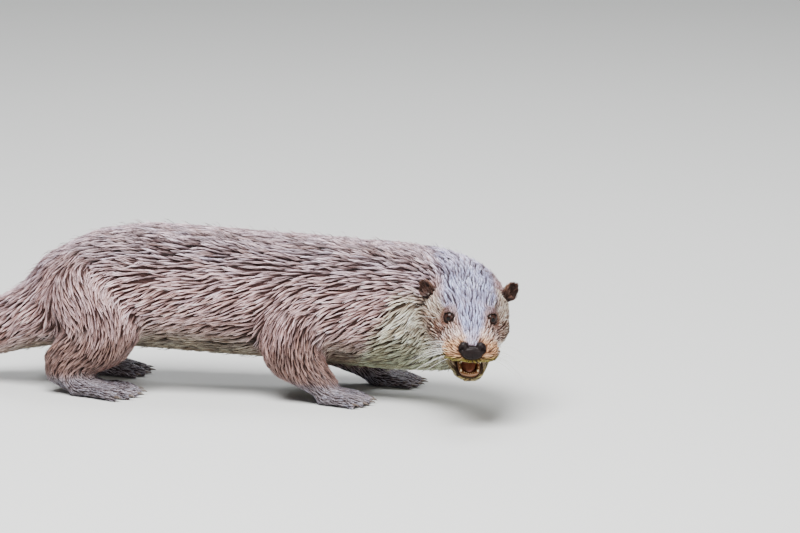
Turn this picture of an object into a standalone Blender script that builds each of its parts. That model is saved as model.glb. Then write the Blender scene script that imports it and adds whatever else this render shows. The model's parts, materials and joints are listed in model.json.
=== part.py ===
"""A life-size Eurasian otter as a still museum model.

It stands low on four short legs. Its head is lowered and turned to its right, with the mouth open.
The body is modelled whole from lofts along the spine, legs, tail and head, then parted by thin cuts.

While it is being modelled, +X runs towards the head end, +Y to the otter's left and +Z up.
The floor is z = 0. The last step moves the origin to the middle of the model's box, on the floor.
"""

import math
from collections import namedtuple

import bmesh
import bpy
import numpy as np
from mathutils import Matrix, Vector

# Driving sizes, in metres and degrees.
GAP = 0.0003  # between two pieces that touch
VOXEL = 0.0021  # the grid that fuses the lofts into one body
BODY_TRIANGLES = 1950
RING_POINTS, SPAN_STEPS = 28, 5  # around a loft, and between two of its stations
TOES = 5
FLOOR_BITE = 0.0016  # what the floor plane takes off the pads and the tail, which leaves their flats

HIP = Vector((-0.320, 0.118, 0.0))  # the floor under the hips
TRUNK_YAW = -12.0  # the trunk's heading, from +X
EYE_MIDDLE = Vector((0.0725, -0.105, 0.1104))  # midway between the eyes
HEAD_YAW, HEAD_PITCH, HEAD_ROLL = 3.5, 10.0, 2.6
JAW_DROP = 23.0  # how far the lower jaw hangs open
MOUTH_CORNER = (-0.004, -0.0370)  # in front of the eyes, and above them
GAPE_TOP = -0.0335  # the upper jaw's edge, above the eyes

EYE_RADIUS = 0.0064
EYE_SIDE, EYE_FORWARD, EYE_UP = 0.0208, 0.0, 0.0005  # an eyeball's centre in the head's frame
EYE_BULGE = 0.0016  # how far the eyeball stands out of the face
EAR_SIDE, EAR_BACK, EAR_UP = 0.0436, 0.0450, 0.0132
EAR_RADII = (0.0094, 0.0044, 0.0106)
NOSE_FORWARD, NOSE_UP = 0.0478, -0.0205
CLAW = 0.0062  # from the toe's tip
HEAD_BACK = -0.0660  # where the head meets the neck


# ---------------------------------------------------------------- frames

TRUNK = Matrix.Translation(HIP) @ Matrix.Rotation(math.radians(TRUNK_YAW), 4, "Z")
# In the head's frame x points to the otter's left, -y out of the nose and z through the crown.
HEAD = (
    Matrix.Translation(EYE_MIDDLE)
    @ Matrix.Rotation(math.radians(HEAD_YAW), 4, "Z")
    @ Matrix.Rotation(math.radians(HEAD_PITCH), 4, "X")
    @ Matrix.Rotation(math.radians(HEAD_ROLL), 4, "Y")
)


# The same axes, from the corner of the mouth and tipped down with the lower jaw.
JAW = (
    HEAD
    @ Matrix.Translation((0, -MOUTH_CORNER[0], MOUTH_CORNER[1]))
    @ Matrix.Rotation(math.radians(JAW_DROP), 4, "X")
)


def head_point(forward, left, up):
    return HEAD @ Vector((left, -forward, up))


def facing(point, yaw):
    """A frame at a point in the world, with its x axis along yaw."""
    return Matrix.Translation(point) @ Matrix.Rotation(math.radians(yaw), 4, "Z")


# ---------------------------------------------------------------- mesh helpers


def new_object(name, mesh):
    made = bpy.data.objects.new(name, mesh)
    bpy.context.scene.collection.objects.link(made)
    return made


def object_from(name, work):
    """An object with the shape in the bmesh work, which is freed."""
    bmesh.ops.recalc_face_normals(work, faces=work.faces)
    mesh = bpy.data.meshes.new(name)
    work.to_mesh(mesh)
    work.free()
    return new_object(name, mesh)


def apply_modifiers(made):
    graph = bpy.context.evaluated_depsgraph_get()
    mesh = bpy.data.meshes.new_from_object(made.evaluated_get(graph))
    made.modifiers.clear()
    old, made.data = made.data, mesh
    bpy.data.meshes.remove(old)


def boolean(made, operation, other):
    modifier = made.modifiers.new(operation, "BOOLEAN")
    modifier.operation = operation
    modifier.solver = "EXACT"
    modifier.object = other
    apply_modifiers(made)


def remove(made):
    bpy.data.objects.remove(made)


def smooth_rows(stations, steps):
    """Rows of numbers along a Catmull-Rom curve through the stations."""
    rows = np.array(stations, float)
    ends = np.vstack([2 * rows[0] - rows[1], rows, 2 * rows[-1] - rows[-2]])
    made = []
    for before, start, end, after in zip(ends, ends[1:], ends[2:], ends[3:]):
        for u in np.arange(steps) / steps:
            straight = (end - before) * u
            square = (2 * before - 5 * start + 4 * end - after) * u**2
            cubic = (3 * start - before - 3 * end + after) * u**3
            made.append(start + 0.5 * (straight + square + cubic))
    made.append(rows[-1])
    return np.array(made)


def power(value, squareness):
    """A superellipse's coordinate: squareness 2 gives a true ellipse, more gives fuller corners."""
    return math.copysign(abs(value) ** (2 / squareness), value)


def ring(work, centre, side, up, size, fullness, points):
    """One section of a loft. size holds its half-width, rise and drop.

    fullness holds the squareness of its upper and its lower half.
    """
    half_side, rise, drop = size
    made = []
    for k in range(points):
        angle = 2 * math.pi * k / points
        above = math.sin(angle) > 0
        squareness = fullness[0] if above else fullness[1]
        across, along = power(math.cos(angle), squareness), power(math.sin(angle), squareness)
        reach = rise if above else drop
        made.append(work.verts.new(centre + side * (half_side * across) + up * (reach * along)))
    return made


def closed_loop(work, points):
    """The edges that join the points into a loop, made where they are missing."""
    pairs = zip(points, points[1:] + points[:1])
    return [work.edges.get(pair) or work.edges.new(pair) for pair in pairs]


def dome(frame, size, way):
    """The sections that close a loft's end, from its rim outwards, and the tip's place."""
    centre, ahead, side, up = frame
    radius = min(size)
    sections = []
    for angle in (35, 65):
        shift, scale = math.sin(math.radians(angle)), math.cos(math.radians(angle))
        sections.append(((centre + ahead * (way * radius * shift), ahead, side, up), size * scale))
    return sections, centre + ahead * (way * radius)


def loft(stations, hint, matrix=None, fullness=(2.2, 2.2), points=RING_POINTS, steps=SPAN_STEPS):
    """A closed tube with domed ends, as a bmesh. A station is x, y, z, half_side, rise, drop.

    rise points along hint and drop away from it.
    """
    matrix = matrix or Matrix.Identity(4)
    rows = smooth_rows(stations, steps)
    centres = [matrix @ Vector(row[:3]) for row in rows]
    hint = (matrix.to_3x3() @ Vector(hint)).normalized()
    sections = []
    for i, centre in enumerate(centres):
        ahead = centres[min(i + 1, len(centres) - 1)] - centres[max(i - 1, 0)]
        ahead.normalize()
        side = ahead.cross(hint).normalized()
        sections.append(((centre, ahead, side, side.cross(ahead)), rows[i, 3:6]))
    start, first_tip = dome(*sections[0], -1)
    end, last_tip = dome(*sections[-1], 1)
    sections = start[::-1] + sections + end
    work = bmesh.new()
    rings = []
    for (centre, _, side, up), size in sections:
        rings.append(ring(work, centre, side, up, size, fullness, points))
    for here, there in zip(rings, rings[1:]):
        bmesh.ops.bridge_loops(work, edges=closed_loop(work, here) + closed_loop(work, there))
    for place, rim in ((first_tip, rings[0]), (last_tip, rings[-1])):
        tip = work.verts.new(place)
        for k in range(points):
            work.faces.new((rim[k], rim[(k + 1) % points], tip))
    bmesh.ops.recalc_face_normals(work, faces=work.faces)
    return work


def ellipsoid(centre, radii, matrix=None, segments=20):
    """An ellipsoid, as a bmesh, with its axes along those of matrix."""
    place = (matrix or Matrix.Identity(4)) @ Matrix.Translation(centre)
    work = bmesh.new()
    size = Matrix.Diagonal((*radii, 1))
    bmesh.ops.create_uvsphere(
        work, u_segments=segments, v_segments=segments // 2, radius=1, matrix=place @ size
    )
    return work


def block(low, high, matrix=None):
    """A box between two corners in the frame of matrix, as an object."""
    low, high = Vector(low), Vector(high)
    work = bmesh.new()
    place = Matrix.Translation((low + high) / 2) @ Matrix.Diagonal((*(high - low), 1))
    bmesh.ops.create_cube(work, size=1, matrix=(matrix or Matrix.Identity(4)) @ place)
    return object_from("block", work)


def prism(outline, half):
    """The outline, as points in front of and above the eyes, drawn out to both sides of the head."""
    work = bmesh.new()
    near, far = ([work.verts.new(head_point(f, x, u)) for f, u in outline] for x in (-half, half))
    work.faces.new(near)
    work.faces.new(far[::-1])
    for k in range(len(outline)):
        after = (k + 1) % len(outline)
        work.faces.new((near[after], near[k], far[k], far[after]))
    return object_from("prism", work)


def spike(name, rows, tip, matrix, sides=6):
    """A claw or a tooth along x: rows of x, z and radius, then the x and z of its tip."""
    work = bmesh.new()
    rings = []
    for x, z, radius in rows:
        turns = [2 * math.pi * k / sides for k in range(sides)]
        spots = [Vector((x, radius * math.cos(a), z + radius * math.sin(a))) for a in turns]
        rings.append([work.verts.new(matrix @ spot) for spot in spots])
    work.faces.new(rings[0])
    for here, there in zip(rings, rings[1:]):
        for k in range(sides):
            after = (k + 1) % sides
            work.faces.new((here[k], here[after], there[after], there[k]))
    end = work.verts.new(matrix @ Vector((tip[0], 0, tip[1])))
    for k in range(sides):
        work.faces.new((rings[-1][k], rings[-1][(k + 1) % sides], end))
    return object_from(name, work)


def copy_of(made, name):
    return new_object(name, made.data.copy())


def grown(made, by=GAP):
    """A copy with its surface moved out, to cut the room that a piece takes."""
    bigger = copy_of(made, "room")
    places = [v.co + v.normal * by for v in bigger.data.vertices]
    for vertex, place in zip(bigger.data.vertices, places):
        vertex.co = place
    return bigger


def cut(made, cutter):
    boolean(made, "DIFFERENCE", cutter)
    remove(cutter)


def part_off(whole, name, region):
    """Takes what lies in a region out of whole as its own piece. region(by) makes it, grown by a length."""
    piece = copy_of(whole, name)
    inside = region(0)
    boolean(piece, "INTERSECT", inside)
    remove(inside)
    cut(whole, region(GAP))
    return piece


def keep_largest(made):
    """Drops the crumbs that a cut leaves."""
    work = bmesh.new()
    work.from_mesh(made.data)
    left = set(work.verts)
    islands = []
    while left:
        reached = [left.pop()]
        for vertex in reached:
            for edge in vertex.link_edges:
                other = edge.other_vert(vertex)
                if other in left:
                    left.remove(other)
                    reached.append(other)
        islands.append(reached)
    islands.sort(key=len)
    for crumbs in islands[:-1]:
        bmesh.ops.delete(work, geom=crumbs, context="VERTS")
    work.to_mesh(made.data)
    work.free()


# ---------------------------------------------------------------- the body's forms


def trunk_and_neck():
    """Stations in the world: centre, half-width, height above and depth below it."""
    return loft(
        [
            (-0.412, 0.137, 0.062, 0.032, 0.030, 0.030),  # tail root
            (-0.376, 0.130, 0.074, 0.047, 0.040, 0.036),  # rump
            (-0.338, 0.122, 0.092, 0.057, 0.057, 0.050),  # hips
            (-0.282, 0.110, 0.105, 0.058, 0.066, 0.062),  # croup
            (-0.208, 0.094, 0.104, 0.058, 0.067, 0.064),  # loin
            (-0.130, 0.078, 0.101, 0.060, 0.066, 0.064),  # ribs
            (-0.060, 0.063, 0.099, 0.061, 0.065, 0.066),  # withers
            (0.000, 0.044, 0.098, 0.058, 0.064, 0.067),  # neck base
            (0.044, 0.012, 0.100, 0.054, 0.060, 0.065),  # middle of the neck
            (0.063, -0.030, 0.104, 0.051, 0.050, 0.058),  # nape
            (0.070, -0.068, 0.106, 0.043, 0.038, 0.042),  # in the skull
        ],
        hint=(0, 0, 1),
        fullness=(2.2, 2.3),
    )


def tail():
    """Thick at its root, tapering evenly, down to the floor and along it."""
    return loft(
        [
            (-0.380, 0.131, 0.072, 0.040, 0.034, 0.034),
            (-0.425, 0.140, 0.056, 0.031, 0.028, 0.028),
            (-0.490, 0.150, 0.036, 0.026, 0.023, 0.023),
            (-0.560, 0.152, 0.0205, 0.0215, 0.0185, 0.0185),
            (-0.640, 0.142, 0.0135, 0.0170, 0.0145, 0.0150),
            (-0.710, 0.124, 0.0095, 0.0125, 0.0105, 0.0110),
            (-0.765, 0.104, 0.0060, 0.0080, 0.0070, 0.0075),
            (-0.792, 0.092, 0.0030, 0.0045, 0.0040, 0.0045),
        ],
        hint=(0, 0, 1),
    )


def paw(place, length, width):
    """A webbed paw as a list of bmeshes, and the frames at the ends of its toes.

    In its frame x points forward and the floor is z = 0.
    """
    shapes, ends = [], []
    root = place @ Matrix.Translation((0, 0, -FLOOR_BITE))
    palm = (length * 0.30, width * 0.40, 0.0105)
    shapes.append(ellipsoid((length * 0.30, 0, 0.0090), palm, root))
    web = (length * 0.30, width * 0.43, 0.0045)
    shapes.append(ellipsoid((length * 0.58, 0, 0.0050), web, root))
    for toe in range(TOES):
        turn = (toe - (TOES - 1) / 2) / ((TOES - 1) / 2)  # -1 on one edge, 1 on the other
        aim = Matrix.Rotation(math.radians(17 * turn), 4, "Z")
        reach = length * (1 - 0.13 * turn**2)
        start = Vector((length * 0.34, width * 0.30 * turn, 0.0085))
        heel = root @ Matrix.Translation(start) @ aim
        long = reach - length * 0.34 - 0.004
        shapes.append(
            loft(
                [
                    (0, 0, 0.0010, 0.0052, 0.0050, 0.0050),
                    (long * 0.50, 0, 0.0008, 0.0050, 0.0052, 0.0060),
                    (long * 0.94, 0, -0.0028, 0.0044, 0.0042, 0.0046),
                ],
                hint=(0, 0, 1),
                matrix=heel,
            )
        )
        ends.append(heel @ Matrix.Translation((long * 0.94 + 0.0022, 0, -0.0018)))
    return shapes, ends


class Leg:
    """A leg's stations in the trunk's frame, the sleeve that parts it from the trunk, and its paw."""

    def __init__(self, stations, sleeve, ankle, heel, turn, length, width):
        self.stations, self.sleeve = stations, sleeve
        self.ankle, self.length = ankle, length
        self.place = TRUNK @ facing(heel, turn)
        self.paw, self.toes = paw(self.place, length, width)

    def shapes(self):
        return [loft(self.stations, hint=(1, 0, 0.25), matrix=TRUNK)] + self.paw

    def paw_region(self, by):
        low = (-0.030 - by, -0.040 - by, -0.050)
        return block(low, (self.length + 0.020, 0.040 + by, self.ankle + by), self.place)

    def leg_region(self, by):
        rows = [row[:3] + tuple(size + by for size in row[3:]) for row in self.sleeve]
        work = loft(rows, (1, 0, 0.25), TRUNK, points=12, steps=1)
        bmesh.ops.triangulate(work, faces=work.faces, quad_method="FIXED")
        return object_from("sleeve", work)


def fore_leg(side, ahead):
    """side is -1 for the right leg and 1 for the left. ahead moves the paw forward."""
    out = side * 0.0560
    stations = [
        (0.232 + ahead * 0.2, side * 0.037, 0.100, 0.027, 0.038, 0.038),  # shoulder
        (0.224 + ahead * 0.4, side * 0.047, 0.074, 0.026, 0.035, 0.036),  # upper arm
        (0.222 + ahead * 0.6, side * 0.052, 0.052, 0.023, 0.031, 0.030),  # elbow
        (0.240 + ahead * 0.9, side * 0.055, 0.034, 0.020, 0.022, 0.022),  # forearm
        (0.258 + ahead, out, 0.018, 0.017, 0.015, 0.015),  # wrist
    ]
    sleeve = [
        (0.232 + ahead * 0.3, side * 0.0400, 0.104, 0.032, 0.044, 0.046),
        (0.240 + ahead * 0.8, side * 0.0580, 0.032, 0.030, 0.044, 0.052),
    ]
    return Leg(stations, sleeve, 0.0230, (0.248 + ahead, out, 0), side * 6, 0.064, 0.050)


def hind_leg(side, ahead):
    out = side * 0.0560
    stations = [
        (-0.010 + ahead * 0.2, side * 0.032, 0.108, 0.032, 0.044, 0.040),  # hip
        (0.018 + ahead * 0.4, side * 0.046, 0.084, 0.026, 0.042, 0.046),  # thigh
        (0.020 + ahead * 0.7, side * 0.053, 0.060, 0.022, 0.034, 0.040),  # knee
        (-0.012 + ahead, out, 0.042, 0.019, 0.024, 0.026),  # shank
        (-0.024 + ahead, out, 0.026, 0.016, 0.018, 0.018),  # hock
        (0.000 + ahead, out, 0.016, 0.018, 0.013, 0.013),  # instep
    ]
    sleeve = [
        (-0.002 + ahead * 0.3, side * 0.0400, 0.108, 0.034, 0.052, 0.052),
        (0.002 + ahead * 0.8, side * 0.0600, 0.036, 0.034, 0.062, 0.056),
    ]
    return Leg(stations, sleeve, 0.0300, (-0.020 + ahead, out, 0), side * 9, 0.088, 0.056)


def head_loft(rows, fullness):
    """A loft from rows of: distance in front of the eyes, half-width, widest level, top and bottom."""
    stations = []
    for forward, half, level, top, bottom in rows:
        stations.append((0, -forward, level, half, top - level, level - bottom))
    return loft(stations, hint=(0, 0, 1), matrix=HEAD, fullness=fullness)


def skull():
    """Cranium, cheeks and upper muzzle, front to back."""
    return head_loft(
        [
            (0.0440, 0.0165, -0.0225, -0.0120, -0.0325),  # nose
            (0.0370, 0.0225, -0.0230, -0.0060, -0.0362),  # whisker pads
            (0.0240, 0.0275, -0.0230, 0.0015, -0.0392),
            (0.0100, 0.0305, -0.0210, 0.0088, -0.0400),  # before the eyes
            (-0.0060, 0.0345, -0.0180, 0.0155, -0.0400),  # behind the eyes
            (-0.0240, 0.0410, -0.0140, 0.0215, -0.0410),  # cheeks
            (-0.0440, 0.0450, -0.0120, 0.0252, -0.0450),  # ears
            (-0.0640, 0.0460, -0.0120, 0.0265, -0.0480),
            (-0.0840, 0.0455, -0.0120, 0.0270, -0.0500),  # nape
        ],
        fullness=(2.0, 2.15),
    )


def jaw():
    """The lower jaw, dropped at the chin."""
    return head_loft(
        [
            (0.0280, 0.0125, -0.0535, -0.0480, -0.0600),
            (0.0190, 0.0168, -0.0515, -0.0430, -0.0605),
            (0.0030, 0.0220, -0.0455, -0.0350, -0.0595),
            (-0.0180, 0.0300, -0.0400, -0.0250, -0.0575),
            (-0.0420, 0.0360, -0.0380, -0.0200, -0.0560),
        ],
        fullness=(2.2, 2.2),
    )


def face_forms():
    """The rounded forms on each side of the face, and the one under the nose."""
    shapes = []
    for side in (-1, 1):
        pairs = [  # centre as (side, back, up), radii
            ((0.0150, -0.0300, -0.0245), (0.0158, 0.0175, 0.0118)),  # whisker pad
            ((0.0260, 0.0260, -0.0170), (0.0180, 0.0280, 0.0205)),  # cheekbone
            ((0.0200, 0.0040, 0.0040), (0.0090, 0.0110, 0.0100)),  # brow
        ]
        for (x, y, z), radii in pairs:
            shapes.append(ellipsoid((side * x, y, z), radii, HEAD))
    shapes.append(ellipsoid((0, -0.0400, -0.0265), (0.0120, 0.0085, 0.0070), HEAD))
    return shapes


def sculpt_face(made):
    """Presses the hollows of the face in and pulls its ridges out."""
    for side in (-1, 1):
        strokes = [  # centre as (forward, side, up), radius, push as (forward, side, up)
            ((0.010, 0.0290, -0.0050), 0.0140, (0.0000, -0.0022, 0.0000)),  # before the eye
            ((-0.006, 0.0370, 0.0030), 0.0150, (0.0000, -0.0022, 0.0000)),  # temple
        ]
        for (forward, x, up), radius, (ahead, out, lift) in strokes:
            by = HEAD.to_3x3() @ Vector((side * out, -ahead, lift))
            push(made, head_point(forward, side * x, up), radius, by)


# ---------------------------------------------------------------- the whole body


def fuse(shapes, name, voxel=VOXEL):
    """Overlapping closed shapes made one, on a grid."""
    whole = bmesh.new()
    for shape in shapes:
        mesh = bpy.data.meshes.new("form")
        shape.to_mesh(mesh)
        shape.free()
        whole.from_mesh(mesh)
        bpy.data.meshes.remove(mesh)
    mesh = bpy.data.meshes.new(name)
    whole.to_mesh(mesh)
    whole.free()
    made = new_object(name, mesh)
    remesh = made.modifiers.new("fuse", "REMESH")
    remesh.mode = "VOXEL"
    remesh.voxel_size = voxel
    apply_modifiers(made)
    return made


def push(made, centre, radius, by):
    """Moves the surface near centre, fading out smoothly at radius."""
    for vertex in made.data.vertices:
        share = 1 - (vertex.co - centre).length_squared / radius**2
        if share > 0:
            vertex.co += by * share**2


def softness(point, paws):
    """How much smoothing a point takes: all of it on the trunk, little on the face and paws."""
    head_share = min(1.0, max(0.22, ((point - EYE_MIDDLE).length - 0.055) / 0.045))
    paw_share = min([1.0] + [max(0.10, ((point - p).length - 0.040) / 0.030) for p in paws])
    thin_tail = 0.35 if point.x < -0.70 else 1.0
    return min(head_share, paw_share, thin_tail)


def smooth(made, rounds, group=""):
    modifier = made.modifiers.new("smooth", "SMOOTH")
    modifier.factor = 0.5
    modifier.iterations = rounds
    modifier.vertex_group = group
    apply_modifiers(made)


def soften(made, paws):
    group = made.vertex_groups.new(name="soft")
    for vertex in made.data.vertices:
        group.add([vertex.index], softness(vertex.co, paws), "REPLACE")
    smooth(made, 26, "soft")


def simplify(made, triangles, group=""):
    """Fewer triangles, and most of those left where the vertex group is low."""
    modifier = made.modifiers.new("simplify", "DECIMATE")
    modifier.ratio = triangles / sum(len(p.vertices) - 2 for p in made.data.polygons)
    modifier.vertex_group = group
    modifier.vertex_group_factor = 0.35
    apply_modifiers(made)


def open_mouth(body):
    """Cuts the gape, the palate and the trough of the lower jaw."""
    forward, up = MOUTH_CORNER
    reach = 0.074
    fall = reach * math.tan(math.radians(JAW_DROP))
    gape = [(0.070, GAPE_TOP), (0.014, GAPE_TOP), (forward, up), (forward + reach, up - fall)]
    cut(body, prism(gape, 0.060))
    cut(body, object_from("palate", ellipsoid((0, -0.0230, -0.0335), (0.0110, 0.0200, 0.0050), HEAD)))
    cut(body, object_from("trough", ellipsoid((0, -0.0165, -0.0005), (0.0102, 0.0160, 0.0056), JAW)))


def floor_cut(body):
    """The floor plane takes a little off what rests on it, so that each rests on a flat."""
    cut(body, block((-1, -1, -0.1), (1, 1, 0)))


# ---------------------------------------------------------------- small pieces


def eye_centre(side):
    return HEAD @ Vector((side * EYE_SIDE, -EYE_FORWARD, EYE_UP))


def eye_aim(side):
    """The way an eye looks: forward, and a little out and up."""
    return (HEAD.to_3x3() @ Vector((side * 0.42, -1, 0.10))).normalized()


def seat_eye(body, side):
    """Moves the face round an eye so that the eyeball stands out of it by EYE_BULGE."""
    centre, aim = eye_centre(side), eye_aim(side)
    found, place, _, _ = body.ray_cast(centre + aim * 0.05, -aim)
    if found:
        by = aim * (EYE_RADIUS - EYE_BULGE - (place - centre).dot(aim))
        push(body, place, 0.0200, by)


def ear_frame(side):
    """The frame of an ear: x across it, -y out of its hollow, z to its tip."""
    turn = Matrix.Rotation(math.radians(side * 28), 4, "Z")
    lean = Matrix.Rotation(math.radians(side * 32), 4, "Y")
    tip_back = Matrix.Rotation(math.radians(-10), 4, "X")
    return HEAD @ Matrix.Translation((side * EAR_SIDE, EAR_BACK, EAR_UP)) @ turn @ lean @ tip_back


def ear_hollow(side):
    shape = ellipsoid((0, -0.0038, 0.0014), (0.0071, 0.0044, 0.0078), ear_frame(side), segments=12)
    return object_from("hollow", shape)


NOSE = HEAD @ Matrix.Translation((0, -NOSE_FORWARD, NOSE_UP))


def nose():
    """The nose pad: a broad body with a lobe round each nostril."""
    lobes = [ellipsoid((0, -0.0022, -0.0012), (0.0116, 0.0078, 0.0068), NOSE)]
    for side in (-1, 1):
        lobes.append(ellipsoid((side * 0.0092, 0.0016, 0.0024), (0.0060, 0.0066, 0.0062), NOSE))
    made = fuse(lobes, "nose_pad", voxel=0.0008)
    smooth(made, 8)
    simplify(made, 190)
    return made


def nostril(side):
    turn = Matrix.Rotation(math.radians(side * 35), 4, "Y")
    place = NOSE @ Matrix.Translation((side * 0.0108, -0.0052, 0.0026)) @ turn
    return object_from("nostril", ellipsoid((0, 0, 0), (0.0034, 0.0036, 0.0018), place, segments=12))


def tongue():
    lie = JAW @ Matrix.Translation((0, -0.0150, -0.0026)) @ Matrix.Rotation(math.radians(-4), 4, "X")
    return object_from("tongue", ellipsoid((0, 0, 0), (0.0080, 0.0165, 0.0026), lie, segments=12))


def canine(name, frame, side, along, across, length):
    """A tooth that stands on the jaw in frame, or hangs from it where length is negative."""
    up = math.copysign(90, -length)
    stand = Matrix.Rotation(math.radians(up), 4, "Y")
    place = frame @ Matrix.Translation((side * across, -along, 0)) @ stand
    long = abs(length)
    rows = [(-0.0030, 0, 0.0014), (0.0007, 0, 0.0015), (long * 0.5, 0, 0.0011)]
    return spike(name, rows, (long, 0.0), place)


def claw(name, frame):
    rows = [(-0.0030, 0, 0.0013), (0.0004, 0.0003, 0.0013), (CLAW * 0.5, -0.0001, 0.0010)]
    return spike(name, rows, (CLAW, -0.0012), frame)


# ---------------------------------------------------------------- finish


def paint(made, colour, roughness):
    material = bpy.data.materials.new(made.name)
    material.use_nodes = True
    surface = material.node_tree.nodes["Principled BSDF"]
    surface.inputs["Base Color"].default_value = (*colour, 1)
    surface.inputs["Roughness"].default_value = roughness
    surface.inputs["Metallic"].default_value = 0
    made.data.materials.clear()
    made.data.materials.append(material)
    made.data.shade_smooth()
    made.data.set_sharp_from_angle(angle=math.radians(50))


def to_origin(pieces):
    """Moves all so that the origin is the middle of the box, on the floor."""
    corners = np.array([tuple(v.co) for made in pieces for v in made.data.vertices])
    low, high = corners.min(axis=0), corners.max(axis=0)
    shift = Vector((-(low[0] + high[0]) / 2, -(low[1] + high[1]) / 2, -low[2]))
    for made in pieces:
        made.data.transform(Matrix.Translation(shift))


FUR_BACK, FUR_PALE, FUR_FACE = (0.155, 0.110, 0.088), (0.34, 0.29, 0.22), (0.20, 0.145, 0.110)
SKIN_DARK, SKIN_PAW, TONGUE = (0.035, 0.022, 0.018), (0.19, 0.14, 0.13), (0.30, 0.115, 0.06)
HORN, TOOTH, EYE = (0.10, 0.075, 0.055), (0.62, 0.52, 0.34), (0.020, 0.012, 0.008)

TRUNK_CUTS = [  # name, the x at which it ends towards the tail, and the trunk's heading there
    ("neck", (-0.005, 0.046), -24),
    ("chest", (-0.150, 0.082), TRUNK_YAW),
    ("loin", (-0.262, 0.106), TRUNK_YAW),
    ("rump", (-0.400, 0.134), TRUNK_YAW),
    ("tail_root", (-0.520, 0.152), 0.0),
    ("tail_middle", (-0.650, 0.140), 8.0),
]


def ahead_of(x, y, yaw):
    """Makes the region in front of an upright plane across the spine."""
    return lambda by: block((-by, -0.5, -0.5), (1.0, 0.5, 0.5), facing((x, y, 0), yaw))


def lower_jaw_region(by):
    forward, up = MOUTH_CORNER
    back = -0.040 - by
    top = [(0.08, up + by), (forward, up + by), (back, -0.0330 + by)]
    return prism(top + [(back, -0.09), (0.08, -0.09)], 0.060)


def head_region(by):
    return block((-0.085, -0.10, -0.10), (0.085, -HEAD_BACK + by, 0.075), HEAD)


# A small piece, the names of those it sits in, its finish and the hollows cut in it last.
Small = namedtuple("Small", "made hosts colour roughness hollows")


def main():
    for old in list(bpy.data.objects):
        bpy.data.objects.remove(old)
    legs = {
        "fore_right": fore_leg(-1, 0.0),
        "fore_left": fore_leg(1, 0.030),
        "hind_right": hind_leg(-1, 0.0),
        "hind_left": hind_leg(1, -0.020),
    }
    shapes = [trunk_and_neck(), tail(), skull(), jaw()] + face_forms()
    for leg in legs.values():
        shapes += leg.shapes()
    body = fuse(shapes, "body")
    sculpt_face(body)
    soften(body, [leg.toes[TOES // 2].translation for leg in legs.values()])
    for side in (-1, 1):
        seat_eye(body, side)
    simplify(body, BODY_TRIANGLES, "soft")
    open_mouth(body)
    floor_cut(body)

    furred = {}
    for name, leg in legs.items():
        for part, region in (("_paw", leg.paw_region), ("_leg", leg.leg_region)):
            furred[name + part] = part_off(body, name + part, region)
    furred["lower_jaw"] = part_off(body, "lower_jaw", lower_jaw_region)
    furred["head"] = part_off(body, "head", head_region)
    for name, (x, y), yaw in TRUNK_CUTS:
        furred[name] = part_off(body, name, ahead_of(x, y, yaw))
    body.name = "tail_tip"
    furred["tail_tip"] = body

    small = []
    upper_jaw = HEAD @ Matrix.Translation((0, 0, GAPE_TOP))
    for side, word in ((-1, "right"), (1, "left")):
        ball = object_from("eye_" + word, ellipsoid(eye_centre(side), (EYE_RADIUS,) * 3, segments=16))
        flap = object_from("ear_" + word, ellipsoid((0, 0, 0), EAR_RADII, ear_frame(side), segments=14))
        lower = canine("lower_canine_" + word, JAW, side, 0.0335, 0.0080, 0.0062)
        upper = canine("upper_canine_" + word, upper_jaw, side, 0.0385, 0.0098, -0.0060)
        small.append(Small(ball, ["head"], EYE, 0.05, []))
        small.append(Small(flap, ["head"], FUR_FACE, 0.8, [ear_hollow(side)]))
        small.append(Small(lower, ["lower_jaw"], TOOTH, 0.3, []))
        small.append(Small(upper, ["head"], TOOTH, 0.3, []))
    small.append(Small(nose(), ["head"], SKIN_DARK, 0.4, [nostril(-1), nostril(1)]))
    small.append(Small(tongue(), ["lower_jaw", "head"], TONGUE, 0.4, []))
    for name, leg in legs.items():
        for k, end in enumerate(leg.toes):
            made = claw(f"{name}_claw_{k + 1}", end)
            small.append(Small(made, [name + "_paw"], HORN, 0.4, []))
    for piece in small:
        for name in piece.hosts:
            cut(furred[name], grown(piece.made))
        for hollow in piece.hollows:
            cut(piece.made, hollow)
        paint(piece.made, piece.colour, piece.roughness)
    for name, made in furred.items():
        keep_largest(made)
        colour = FUR_FACE if name == "head" else FUR_PALE if name == "lower_jaw" else FUR_BACK
        paint(made, SKIN_PAW if name.endswith("_paw") else colour, 0.8)
    to_origin([piece.made for piece in small] + list(furred.values()))


main()
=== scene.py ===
"""The looks of a life-size Eurasian otter, wet from the water, as a still museum model.

One skin stands for the flesh of the CAD model and lies inside it by the depth of the coat. The coat is
tufts of mesh that gather into pointed clumps and follow the lie of the fur. Eyes, nose, mouth, claws and
whiskers are pieces of their own. Lengths are in metres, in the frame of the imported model: +Z is up, the
head is at the +X end and looks towards -Y, and +Y is the otter's left side.
"""

import json
import math
from collections import namedtuple

import bmesh
import bpy
import numpy as np
from mathutils import Matrix, Vector
from mathutils.bvhtree import BVHTree
from mathutils.kdtree import KDTree

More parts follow.
